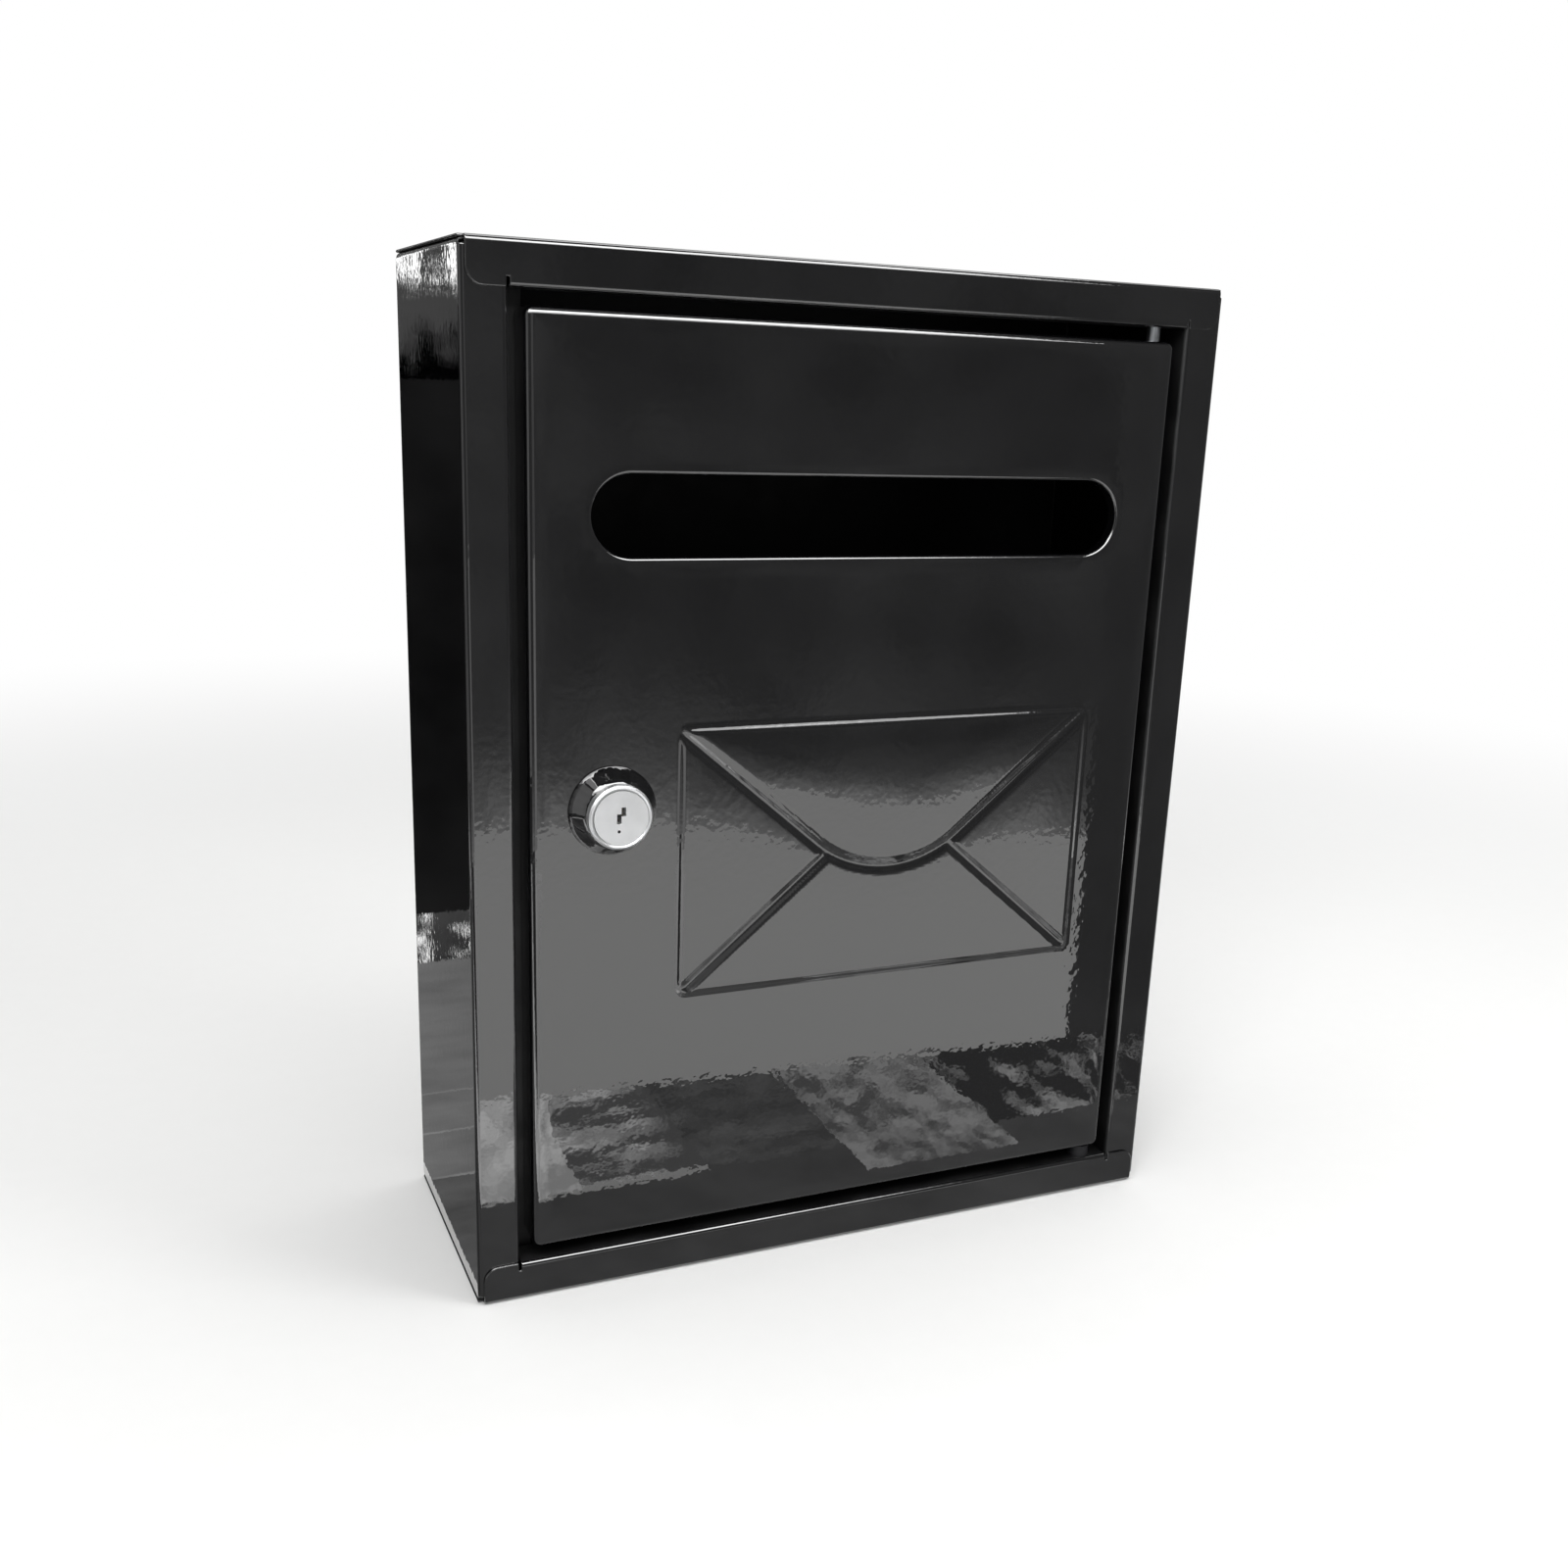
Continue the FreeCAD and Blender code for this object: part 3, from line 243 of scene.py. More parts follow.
def smooth_copy(node, material, angle=32, edge=0, reshape=None):
    """Merged and smoothly shaded copy of a CAD node, which then stands for it."""
    mesh = frame["nodes"][node].data.copy()
    mesh.name = node + "_skin"
    work = bmesh.new()
    work.from_mesh(mesh)
    bmesh.ops.remove_doubles(work, verts=work.verts, dist=0.001 * MM)
    bmesh.ops.dissolve_limit(work, angle_limit=math.radians(0.2), verts=work.verts, edges=work.edges)
    if reshape:
        reshape(work)
    if not edge:
        bmesh.ops.triangulate(work, faces=work.faces)
    for face in work.faces:
        face.smooth = True
    work.to_mesh(mesh)
    work.free()
    if edge:
        mesh = settled(mesh, lambda holder: ease_edges(holder, edge))
        low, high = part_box(node)
        for vert in mesh.vertices:
            vert.co = [min(max(spot, least), most) for spot, least, most in zip(vert.co, low, high)]
    mesh.set_sharp_from_angle(angle=math.radians(angle))
    piece = new_piece(node + "_skin", mesh, body_of(node), material, node)
    weighted = piece.modifiers.new("Even flats", "WEIGHTED_NORMAL")
    weighted.keep_sharp = True
    weighted.weight = 100
    return piece


def ease_edges(holder, width):
    """Rounds the sharp edges of a sheet as paint does."""
    ease = holder.modifiers.new("Eased edges", "BEVEL")
    ease.width = width
    ease.segments = 3
    ease.limit_method = "ANGLE"
    ease.angle_limit = math.radians(50)
    ease.use_clamp_overlap = False
    holder.modifiers.new("Triangles", "TRIANGULATE")


def darken_mark(plug, drop, dark_material):
    """Gives the faces of the punched mark under the keyway a dark material."""
    plug.data.materials.append(dark_material)
    reach, skin, depth = 1.2 * MM, 0.01 * MM, 0.45 * MM
    face_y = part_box("lock_plug")[0].y
    for face in plug.data.polygons:
        spot = face.center
        aside = math.hypot(spot.x - LOCK_CENTRE.x, spot.z - LOCK_CENTRE.z + drop)
        if aside < reach and skin < spot.y - face_y < depth:
            face.material_index = 1


def dull_inside(piece, inner):
    """Gives the faces that look into the box the finish of the inside."""
    piece.data.materials.append(inner)
    probe, skin = 0.3 * MM, 0.1 * MM
    front = DOOR_FACE + MM
    for face in piece.data.polygons:
        spot = face.center + face.normal * probe
        in_width = WRAP_LOW.x + skin < spot.x < WRAP_HIGH.x - skin
        in_height = WRAP_LOW.z < spot.z < WRAP_HIGH.z
        if in_width and in_height and front < spot.y < WRAP_HIGH.y - skin:
            face.material_index = 1


# Geometry Nodes

def start_tree(name, sockets):
    """Geometry Nodes tree with named inputs, and its input node's sockets."""
    tree = bpy.data.node_groups.new(name, "GeometryNodeTree")
    for title, kind in sockets.items():
        tree.interface.new_socket(title, in_out="INPUT", socket_type="NodeSocket" + kind)
    tree.interface.new_socket("Geometry", in_out="OUTPUT", socket_type="NodeSocketGeometry")
    return tree, add_node(tree, "NodeGroupInput").outputs


def end_tree(tree, geometry, material):
    """Makes instances real, gives the material and leads to the output."""
    real = add_node(tree, "GeometryNodeRealizeInstances", Geometry=geometry).outputs[0]
    painted = add_node(tree, "GeometryNodeSetMaterial", Geometry=real, Material=material).outputs[0]
    add_node(tree, "NodeGroupOutput", Geometry=painted)


def calculate(tree, operation, *terms):
    """Result of a math node whose terms are numbers or sockets."""
    node = add_node(tree, "ShaderNodeMath", {"operation": operation})
    for socket, term in zip(node.inputs, terms):
        if isinstance(term, (int, float)):
            socket.default_value = term
        else:
            tree.links.new(term, socket)
    return node.outputs[0]


def run_tree(tree, inputs):
    """Plain mesh that the tree makes from its named inputs."""
    def prepare(holder):
        maker = holder.modifiers.new("Maker", "NODES")
        maker.node_group = tree
        for item in tree.interface.items_tree:
            if item.item_type == "SOCKET" and item.name in inputs:
                maker[item.identifier] = inputs[item.name]

    return settled(bpy.data.meshes.new(tree.name), prepare)


def thread_tree():
    """Screw thread on a barrel with two flats: half turns, each half a pitch past the one before."""
    tree, given = start_tree("barrel_thread", {
        "Radius": "Float", "Flat": "Float", "Pitch": "Float", "Half turns": "Int", "Ridge": "Float",
        "Start": "Vector", "Material": "Material",
    })
    corner = calculate(tree, "ARCCOSINE", calculate(tree, "DIVIDE", given["Flat"], given["Radius"]))
    sweep = calculate(tree, "MULTIPLY_ADD", corner, -2.0, math.pi)
    arc = add_node(tree, "GeometryNodeCurveArc", {"mode": "RADIUS", "Resolution": 24},
                   Radius=given["Radius"], Start_Angle=corner, Sweep_Angle=sweep)
    lead = calculate(tree, "DIVIDE", given["Pitch"], calculate(tree, "MULTIPLY", given["Radius"], 2 * math.pi))
    lean = add_node(tree, "ShaderNodeCombineXYZ", Y=lead).outputs[0]
    leaned = add_node(tree, "GeometryNodeTransform", Geometry=arc.outputs[0], Rotation=lean).outputs[0]
    step = add_node(tree, "ShaderNodeCombineXYZ", Z=calculate(tree, "MULTIPLY", given["Pitch"], 0.5)).outputs[0]
    row = add_node(tree, "GeometryNodeMeshLine", {"mode": "OFFSET"}, Count=given["Half turns"], Offset=step)
    index = add_node(tree, "GeometryNodeInputIndex").outputs[0]
    turn = add_node(tree, "ShaderNodeCombineXYZ", Z=calculate(tree, "MULTIPLY", index, math.pi)).outputs[0]
    turns = add_node(tree, "GeometryNodeInstanceOnPoints", Points=row.outputs[0], Instance=leaned, Rotation=turn)
    line = add_node(tree, "GeometryNodeRealizeInstances", Geometry=turns.outputs[0]).outputs[0]
    ridge = add_node(tree, "GeometryNodeCurvePrimitiveCircle", {"Resolution": 4}, Radius=given["Ridge"]).outputs[0]
    skin = add_node(tree, "GeometryNodeCurveToMesh", {"Fill Caps": True}, Curve=line, Profile_Curve=ridge).outputs[0]
    stood = add_node(tree, "GeometryNodeTransform", {"Rotation": (-math.pi / 2, 0, 0)},
                     Geometry=skin, Translation=given["Start"]).outputs[0]
    end_tree(tree, stood, given["Material"])
    return tree


def weld_tree():
    """Row of low round spot weld marks."""
    tree, given = start_tree("weld_row", {
        "Start": "Vector", "Step": "Vector", "Count": "Int", "Turn": "Vector",
        "Radius": "Float", "Height": "Float", "Material": "Material",
    })
    crown = calculate(tree, "MULTIPLY", given["Radius"], 0.6)
    mark = add_node(tree, "GeometryNodeMeshCone", {"Vertices": 20},
                    Radius_Top=crown, Radius_Bottom=given["Radius"], Depth=given["Height"]).outputs[0]
    row = add_node(tree, "GeometryNodeMeshLine", {"mode": "OFFSET"},
                   Count=given["Count"], Start_Location=given["Start"], Offset=given["Step"]).outputs[0]
    marks = add_node(tree, "GeometryNodeInstanceOnPoints", Points=row, Instance=mark, Rotation=given["Turn"])
    end_tree(tree, marks.outputs[0], given["Material"])
    return tree


def weld_marks(sizes, gauge, material):
    """Spot weld marks on the tabs of the wrap under the top sheet and over the bottom sheet."""
    tree = weld_tree()
    work = bmesh.new()
    across, side_y = WRAP_HIGH.x - 16 * MM, WRAP_LOW.y + 12 * MM
    back_count, side_count = 5, 4
    back_step = (2 * across / (back_count - 1), 0, 0)
    side_step = (0, (WRAP_HIGH.y - 12 * MM - side_y) / (side_count - 1), 0)
    inset = sizes.weld_inset
    for end, turn in ((1, (math.pi, 0, 0)), (-1, (0, 0, 0))):
        level = end * (WRAP_HIGH.z - gauge)
        rows = (
            ((-across, WRAP_HIGH.y - inset, level), back_step, back_count),
            ((WRAP_LOW.x + inset, side_y, level), side_step, side_count),
            ((WRAP_HIGH.x - inset, side_y, level), side_step, side_count),
        )
        for start, step, count in rows:
            work.from_mesh(run_tree(tree, {
                "Start": start, "Step": step, "Count": count, "Turn": turn,
                "Radius": sizes.weld_radius, "Height": sizes.weld_height, "Material": material,
            }))
    mesh = bpy.data.meshes.new("weld_marks")
    work.to_mesh(mesh)
    work.free()
    return mesh


def cut_root(sizes):
    """Function that turns the barrel down to the root of its thread."""
    slack = 0.02 * MM

    def reshape(work):
        for vert in work.verts:
            x, z = vert.co.x - LOCK_CENTRE.x, vert.co.z - LOCK_CENTRE.z
            if abs(math.hypot(x, z) - sizes.barrel) > slack:
                continue
            if abs(x) > sizes.flat - slack:
                vert.co.z = LOCK_CENTRE.z + math.copysign(math.sqrt(sizes.root ** 2 - x ** 2), z)
            else:
                vert.co.x = LOCK_CENTRE.x + x * sizes.root / sizes.barrel
                vert.co.z = LOCK_CENTRE.z + z * sizes.root / sizes.barrel

    return reshape


# Door

def rounded_rectangle(half_x, half_z, radius, step, corner_steps=8):
    """Points round a rectangle with round corners, anticlockwise, about step apart on its sides."""
    points = []
    for quarter, (sx, sz) in enumerate(((1, 1), (-1, 1), (-1, -1), (1, -1))):
        centre = (sx * (half_x - radius), sz * (half_z - radius))
        for index in range(corner_steps + 1):
            angle = math.pi / 2 * (quarter + index / corner_steps)
            points.append((centre[0] + radius * math.cos(angle), centre[1] + radius * math.sin(angle)))
        run = 2 * (half_x - radius) if quarter in (0, 2) else 2 * (half_z - radius)
        count = max(1, round(run / step))
        along = ((-1, 0), (0, -1), (1, 0), (0, 1))[quarter]
        last = points[-1]
        for index in range(1, count):
            shift = run * index / count
            points.append((last[0] + along[0] * shift, last[1] + along[1] * shift))
    return points


def stadium(centre, reach, radius, step, end_steps=28):
    """Points round a slot with round ends, anticlockwise."""
    points = []
    for side in (1, -1):
        for index in range(end_steps + 1):
            angle = -math.pi / 2 * side + math.pi * index / end_steps
            points.append((
                centre[0] + side * reach + radius * math.cos(angle),
                centre[1] + radius * math.sin(angle),
            ))
        count = max(1, round(2 * reach / step))
        last = points[-1]
        for index in range(1, count):
            points.append((last[0] - side * 2 * reach * index / count, last[1]))
    return points


def flatted_ring(centre, radius, flat, steps=48):
    """Points round a circle with two upright flats."""
    points = []
    for index in range(steps):
        angle = 2 * math.pi * index / steps
        x = max(-flat, min(flat, radius * math.cos(angle)))
        points.append((centre[0] + x, centre[1] + radius * math.sin(angle)))
    return points


def soft_step(value):
    """Smooth rise from 0 to 1."""
    value = np.clip(value, 0, 1)
    return value * value * (3 - 2 * value)


def segment_distance(x, z, start, end):
    """Distance of each point from a straight line between two points."""
    run = (end[0] - start[0], end[1] - start[1])
    share = ((x - start[0]) * run[0] + (z - start[1]) * run[1]) / (run[0] ** 2 + run[1] ** 2)
    share = np.clip(share, 0, 1)
    return np.hypot(x - start[0] - share * run[0], z - start[1] - share * run[1])


def rounded_wedge(x, z, left, tip, right, radius):
    """Signed distance from the two lower flap edges with their rounded tip, negative inside."""
    def edge(first, second):
        run = Vector((second[0] - first[0], second[1] - first[1])).normalized()
        normal = (run.y, -run.x)
        return normal, (x - first[0]) * normal[0] + (z - first[1]) * normal[1]

    normal_a, side_a = edge(left, tip)
    normal_b, side_b = edge(tip, right)
    bisector = Vector((normal_a[0] + normal_b[0], normal_a[1] + normal_b[1])).normalized()
    half = bisector.dot(Vector(normal_a))
    apex = (tip[0] - bisector.x * radius / half, tip[1] - bisector.y * radius / half)
    dx, dz = x - apex[0], z - apex[1]
    past_a = dx * -normal_a[1] + dz * normal_a[0] > 0
    past_b = dx * -normal_b[1] + dz * normal_b[0] < 0
    straight = np.maximum(side_a, side_b)
    in_tip = past_a & past_b & (dz < 0)
    return np.where(in_tip, np.hypot(dx, dz) - radius, straight)


def relief(sizes, x, z):
    """Height of the pressed envelope over the plain door."""
    middle = (sizes.envelope_left + sizes.envelope_right) / 2
    centre_z = (sizes.envelope_top + sizes.envelope_bottom) / 2
    half_x = (sizes.envelope_right - sizes.envelope_left) / 2 - sizes.envelope_corner
    half_z = (sizes.envelope_top - sizes.envelope_bottom) / 2 - sizes.envelope_corner
    out_x = np.abs(x - middle) - half_x
    out_z = np.abs(z - centre_z) - half_z
    outside = np.hypot(np.maximum(out_x, 0), np.maximum(out_z, 0))
    border = outside + np.minimum(np.maximum(out_x, out_z), 0) - sizes.envelope_corner
    height = sizes.envelope_rise * soft_step(-border / sizes.envelope_slope)

    wide = sizes.crease_width
    left = (sizes.envelope_left + 1.5 * MM, sizes.envelope_top)
    right = (sizes.envelope_right - 1.5 * MM, sizes.envelope_top)
    tip = (middle, sizes.flap_tip_z)
    flap = rounded_wedge(x, z, left, tip, right, sizes.flap_tip_radius)
    inside = border < 0

    def groove(distance):
        bowl = np.clip(1 - (distance / wide) ** 2, 0, 1) ** 2
        skirt = np.exp(-np.maximum(distance - wide, 0) / sizes.crease_fade)
        return sizes.crease_depth * ((1 - sizes.crease_skirt) * bowl + sizes.crease_skirt * skirt)

    crease = groove(np.abs(flap - wide))
    for side in (-1, 1):
        corner_x = sizes.envelope_left + sizes.crease_inset if side < 0 else sizes.envelope_right - sizes.crease_inset
        start = (corner_x, sizes.envelope_bottom + sizes.crease_inset)
        end = (middle + side * sizes.crease_reach, sizes.crease_inner_z)
        distance = segment_distance(x, z, start, end)
        bowl = np.clip(1 - (distance / wide) ** 2, 0, 1) ** 1.5
        crease = np.maximum(crease, sizes.crease_depth * bowl)
    body = np.maximum(height - crease * soft_step(-border / (2 * MM)), 0)

    top_gap = sizes.envelope_top - z
    within = np.minimum(-flap, top_gap)
    rise = soft_step(within / (1.4 * MM))
    crown = 1 - (1 - np.clip(-flap / sizes.flap_crown, 0, 1)) ** 2
    full = sizes.flap_edge + (sizes.flap_rise - sizes.flap_edge) * crown
    fall = 1 - (1 - np.clip(top_gap / sizes.flap_top_fall, 0, 1)) ** 2
    flap_height = (sizes.flap_top + (full - sizes.flap_top) * fall) * soft_step(top_gap / (2.0 * MM))
    lifted = body + (flap_height - body) * rise
    return np.where(inside & (within > 0), np.maximum(lifted, 0), np.where(inside, body, 0))


def grid_points(sizes, outer_x, outer_z):
    """Mesh points of the plain sheet, and finer ones on the relief."""
    margin = 4 * MM
    fine = np.meshgrid(
        np.arange(sizes.envelope_left - margin, sizes.envelope_right + margin, sizes.grid_fine),
        np.arange(sizes.envelope_bottom - margin, sizes.envelope_top + margin, sizes.grid_fine),
    )
    plain = np.meshgrid(
        np.arange(-outer_x + sizes.grid_plain, outer_x - MM, sizes.grid_plain),
        np.arange(-outer_z + sizes.grid_plain, outer_z - MM, sizes.grid_plain),
    )
    px, pz = plain[0].ravel(), plain[1].ravel()
    gap = 2 * sizes.grid_fine
    near = (
        (px > sizes.envelope_left - margin - gap) & (px < sizes.envelope_right + margin + gap)
        & (pz > sizes.envelope_bottom - margin - gap) & (pz < sizes.envelope_top + margin + gap)
    )
    x = np.concatenate([fine[0].ravel(), px[~near]])
    z = np.concatenate([fine[1].ravel(), pz[~near]])
    return x, z


def fill_sheet(loops, extra):
    """Triangles between closed loops: the first is the outline and the others are holes. Returns points, faces."""
    points = [Vector(p) for p in extra]
    edges = []
    for loop in loops:
        first = len(points)
        points += [Vector(p) for p in loop]
        edges += [(first + i, first + (i + 1) % len(loop)) for i in range(len(loop))]
    result = delaunay_2d_cdt(points, edges, [], 0, 1e-7)
    found, faces = result[0], result[2]
    kept = []
    for face in faces:
        centre = sum((found[i] for i in face), Vector((0, 0))) / len(face)
        if in_loop(centre, loops[0]) and not any(in_loop(centre, hole) for hole in loops[1:]):
            kept.append(list(face))
    return found, kept


def in_loop(point, loop):
    """True where the point lies inside the closed loop."""
    inside = False
    before = loop[-1]
    for after in loop:
        if (after[1] > point[1]) != (before[1] > point[1]):
            cross = before[0] + (point[1] - before[1]) * (after[0] - before[0]) / (after[1] - before[1])
            if point[0] < cross:
                inside = not inside
        before = after
    return inside


def sheet_builder():
    """Growing list of vertices and faces, with functions that add to it."""
    verts = []
    faces = []

    def add_ring(loop, y):
        first = len(verts)
        verts.extend((px, y, pz) for px, pz in loop)
        return list(range(first, first + len(loop)))

    def bridge(ring_a, ring_b):
        count = len(ring_a)
        for i in range(count):
            j = (i + 1) % count
            faces.append((ring_a[i], ring_a[j], ring_b[j], ring_b[i]))

    return verts, faces, add_ring, bridge


def door_mesh(sizes):
    """Outer skin of the pressed door: front with relief, rounded edge, returns, slot rim and holes."""
    half_x, half_z = DOOR_HIGH.x, DOOR_HIGH.z
    bend = sizes.bend
    arc_steps = 6
    rim_loop = rounded_rectangle(half_x - bend, half_z - bend, sizes.corner - bend, sizes.grid_plain)
    reach = (sizes.slot_length - sizes.slot_height) / 2
    slot_centre = (sizes.slot_x, sizes.slot_z)

    def slot_loop(grow):
        return stadium(slot_centre, reach, sizes.slot_height / 2 + grow, sizes.grid_plain)

    lock_loop = flatted_ring((LOCK_CENTRE.x, LOCK_CENTRE.z), sizes.lock_hole, sizes.lock_flat)
    x, z = grid_points(sizes, half_x - bend, half_z - bend)
    clear_slot = segment_distance(x, z, (sizes.slot_x - reach, sizes.slot_z), (sizes.slot_x + reach, sizes.slot_z))
    keep = clear_slot > sizes.slot_height / 2 + sizes.slot_roll + MM
    keep &= np.hypot(x - LOCK_CENTRE.x, z - LOCK_CENTRE.z) > sizes.lock_hole + MM
    extra = list(zip(x[keep], z[keep]))
    points, triangles = fill_sheet([rim_loop, slot_loop(sizes.slot_roll), lock_loop], extra)
    px = np.array([p.x for p in points])
    pz = np.array([p.y for p in points])
    lift = relief(sizes, px, pz)

    verts, faces, add_ring, bridge = sheet_builder()
    verts.extend(zip(px, DOOR_FACE - lift, pz))
    faces.extend(triangles)
    ring = add_ring(rim_loop, DOOR_FACE)
    for step in range(1, arc_steps + 1):
        angle = math.pi / 2 * step / arc_steps
        grow = bend * math.sin(angle)
        loop = rounded_rectangle(half_x - bend + grow, half_z - bend + grow, sizes.corner - bend + grow, sizes.grid_plain)
        following = add_ring(loop, DOOR_FACE + bend * (1 - math.cos(angle)))
        bridge(following, ring)
        ring = following
    outer_loop = rounded_rectangle(half_x, half_z, sizes.corner, sizes.grid_plain)
    following = add_ring(outer_loop, DOOR_HIGH.y)
    bridge(following, ring)

    ring = add_ring(slot_loop(sizes.slot_roll), DOOR_FACE)
    for step in range(1, arc_steps + 1):
        angle = math.pi / 2 * step / arc_steps
        loop = slot_loop(sizes.slot_roll * (1 - math.sin(angle)))
        following = add_ring(loop, DOOR_FACE + sizes.slot_roll * (1 - math.cos(angle)))
        bridge(ring, following)
        ring = following
    following = add_ring(slot_loop(0), DOOR_FACE + sizes.slot_rim)
    bridge(ring, following)

    mesh = bpy.data.meshes.new("door_skin")
    mesh.from_pydata(verts, [], faces)
    work = bmesh.new()
    work.from_mesh(mesh)
    bmesh.ops.remove_doubles(work, verts=work.verts, dist=0.01 * MM)
    bmesh.ops.recalc_face_normals(work, faces=work.faces)
    front = max(work.faces, key=lambda face: face.calc_area())
    if front.normal.y > 0 and abs(front.normal.y) > 0.9:
        bmesh.ops.reverse_faces(work, faces=work.faces)
    for face in work.faces:
        face.smooth = True
    work.to_mesh(mesh)
    work.free()
    return mesh


def hinge_drill(sizes):
    """Rod through the pin holes at both ends of the door, to be cut away."""
    work = bmesh.new()
    bmesh.ops.create_cone(
        work, cap_ends=True, segments=48, radius1=sizes.hinge_hole, radius2=sizes.hinge_hole, depth=2.2 * DOOR_HIGH.z
    )
    mesh = bpy.data.meshes.new("hinge_drill")
    bmesh.ops.translate(work, verts=work.verts, vec=(PIN_CENTRE.x, PIN_CENTRE.y, 0))
    work.to_mesh(mesh)
    work.free()
    drill = bpy.data.objects.new("hinge_drill", mesh)
    bpy.context.scene.collection.objects.link(drill)
    return drill


# Materials

def add_node(tree, kind, settings=None, **links):
    """Node of a kind, with settings for its properties or inputs and links from other sockets."""
    node = tree.nodes.new(kind)
    for name, setting in (settings or {}).items():
        if isinstance(name, int) or name in node.inputs:
            node.inputs[name].default_value = setting
        else:
            setattr(node, name, setting)
    for name, source in links.items():
        key = int(name[1:]) if name[0] == "i" and name[1:].isdigit() else name.replace("_", " ")
        tree.links.new(source, node.inputs[key])
    return node


def start_material(name):
    """Empty material with its tree, its shader and the object coordinates."""
    material = bpy.data.materials.new(name)
    material.use_nodes = True
    tree = material.node_tree
    tree.nodes.clear()
    place = add_node(tree, "ShaderNodeTexCoord").outputs["Object"]
    shader = add_node(tree, "ShaderNodeBsdfPrincipled")
    add_node(tree, "ShaderNodeOutputMaterial", Surface=shader.outputs[0])
    return material, tree, shader, place


def noise(tree, place, width, detail=2.0, roughness=0.5):
    """Noise whose lumps are about width metres across."""
    return add_node(
        tree, "ShaderNodeTexNoise", {"Scale": 1 / width, "Detail": detail, "Roughness": roughness}, Vector=place
    ).outputs["Fac"]


def vary(tree, source, low, high):
    """Value between low and high that follows a source."""
    return add_node(
        tree, "ShaderNodeMapRange", {"From Min": 0.3, "From Max": 0.7, "To Min": low, "To Max": high}, Value=source
    ).outputs["Result"]


def tint(tree, source, low, high):
    """Colour between two colours that follows a source."""
    node = add_node(tree, "ShaderNodeMix", {"data_type": "RGBA"}, Factor=source)
    colours = [socket for socket in node.inputs if socket.type == "RGBA"]
    colours[0].default_value = (*low, 1)
    colours[1].default_value = (*high, 1)
    return [socket for socket in node.outputs if socket.type == "RGBA"][0]


def bump(tree, height, distance, below=None):
    """Bump of a height field whose peaks stand distance metres proud."""
    node = add_node(tree, "ShaderNodeBump", {"Strength": 1.0, "Distance": distance}, Height=height)
    if below is not None:
        tree.links.new(below, node.inputs["Normal"])
    return node.outputs["Normal"]


def gloss_enamel(finish):
    """Baked black gloss enamel on steel sheet: deep mirror gloss, faint orange peel and a slow swell."""
    material, tree, shader, place = start_material("baked_gloss_enamel")
    cloud = noise(tree, place, 20 * MM)
    dark = tuple(finish.enamel)
    pale = tuple(min(1, c * 1.8) for c in finish.enamel)
    tree.links.new(tint(tree, cloud, dark, pale), shader.inputs["Base Color"])
    tree.links.new(vary(tree, cloud, 0.015, 0.04), shader.inputs["Roughness"])
    swell = bump(tree, noise(tree, place, finish.wave, 1.0), 0.12 * MM)
    peel = bump(tree, noise(tree, place, finish.peel, 1.5), 0.03 * MM, swell)
    tree.links.new(peel, shader.inputs["Normal"])
    shader.inputs["Specular IOR Level"].default_value = 1.0
    shader.inputs["Coat Weight"].default_value = 1.0
    shader.inputs["Coat Roughness"].default_value = 0.01
    shader.inputs["Coat IOR"].default_value = 1.6
    tree.links.new(peel, shader.inputs["Coat Normal"])
    return material


def thin_coat(finish):
    """Thin baked enamel on the inside of the sheets: dull, dry and slightly grainy overspray."""
    material, tree, shader, place = start_material("baked_enamel_overspray")
    cloud = noise(tree, place, 12 * MM, 3.0)
    pale = tuple(min(1, c * 1.6) for c in finish.enamel)
    tree.links.new(tint(tree, cloud, tuple(finish.enamel), pale), shader.inputs["Base Color"])
    tree.links.new(vary(tree, cloud, 0.42, 0.6), shader.inputs["Roughness"])
    tree.links.new(bump(tree, noise(tree, place, 0.7 * MM), 0.02 * MM), shader.inputs["Normal"])
    return material


def bright_chrome(finish):
    """Satin chrome plate on a die-cast head: pale soft shine with faint smudges of handling."""
    material, tree, shader, place = start_material("satin_chrome_plate")
    smudge = noise(tree, place, 5 * MM, 3.0)
    dark = tuple(c * 0.85 for c in finish.chrome)
    tree.links.new(tint(tree, smudge, dark, tuple(finish.chrome)), shader.inputs["Base Color"])
    tree.links.new(vary(tree, smudge, 0.34, 0.42), shader.inputs["Roughness"])
    tree.links.new(bump(tree, noise(tree, place, 3 * MM), 0.003 * MM), shader.inputs["Normal"])
    shader.inputs["Metallic"].default_value = 1.0
    return material


def plated_zinc(finish):
    """Bright zinc plate on stamped steel: soft metal sheen with cloudy patches."""
    material, tree, shader, place = start_material("zinc_plated_steel")
    cloud = noise(tree, place, 3 * MM, 3.0)
    dark = tuple(c * 0.75 for c in finish.zinc)
    tree.links.new(tint(tree, cloud, dark, tuple(finish.zinc)), shader.inputs["Base Color"])
    tree.links.new(vary(tree, cloud, 0.28, 0.42), shader.inputs["Roughness"])
    tree.links.new(bump(tree, noise(tree, place, 0.5 * MM), 0.003 * MM), shader.inputs["Normal"])
    shader.inputs["Metallic"].default_value = 1.0
    return material


def moulded_nylon(finish):
    """Injection moulded nylon: dull black with a fine tool grain."""
    material, tree, shader, place = start_material("moulded_nylon")
    grain = noise(tree, place, 0.6 * MM, 2.0)
    pale = tuple(min(1, c * 1.5) for c in finish.nylon)
    tree.links.new(tint(tree, grain, tuple(finish.nylon), pale), shader.inputs["Base Color"])
    tree.links.new(vary(tree, grain, 0.4, 0.55), shader.inputs["Roughness"])
    tree.links.new(bump(tree, grain, 0.01 * MM), shader.inputs["Normal"])
    return material


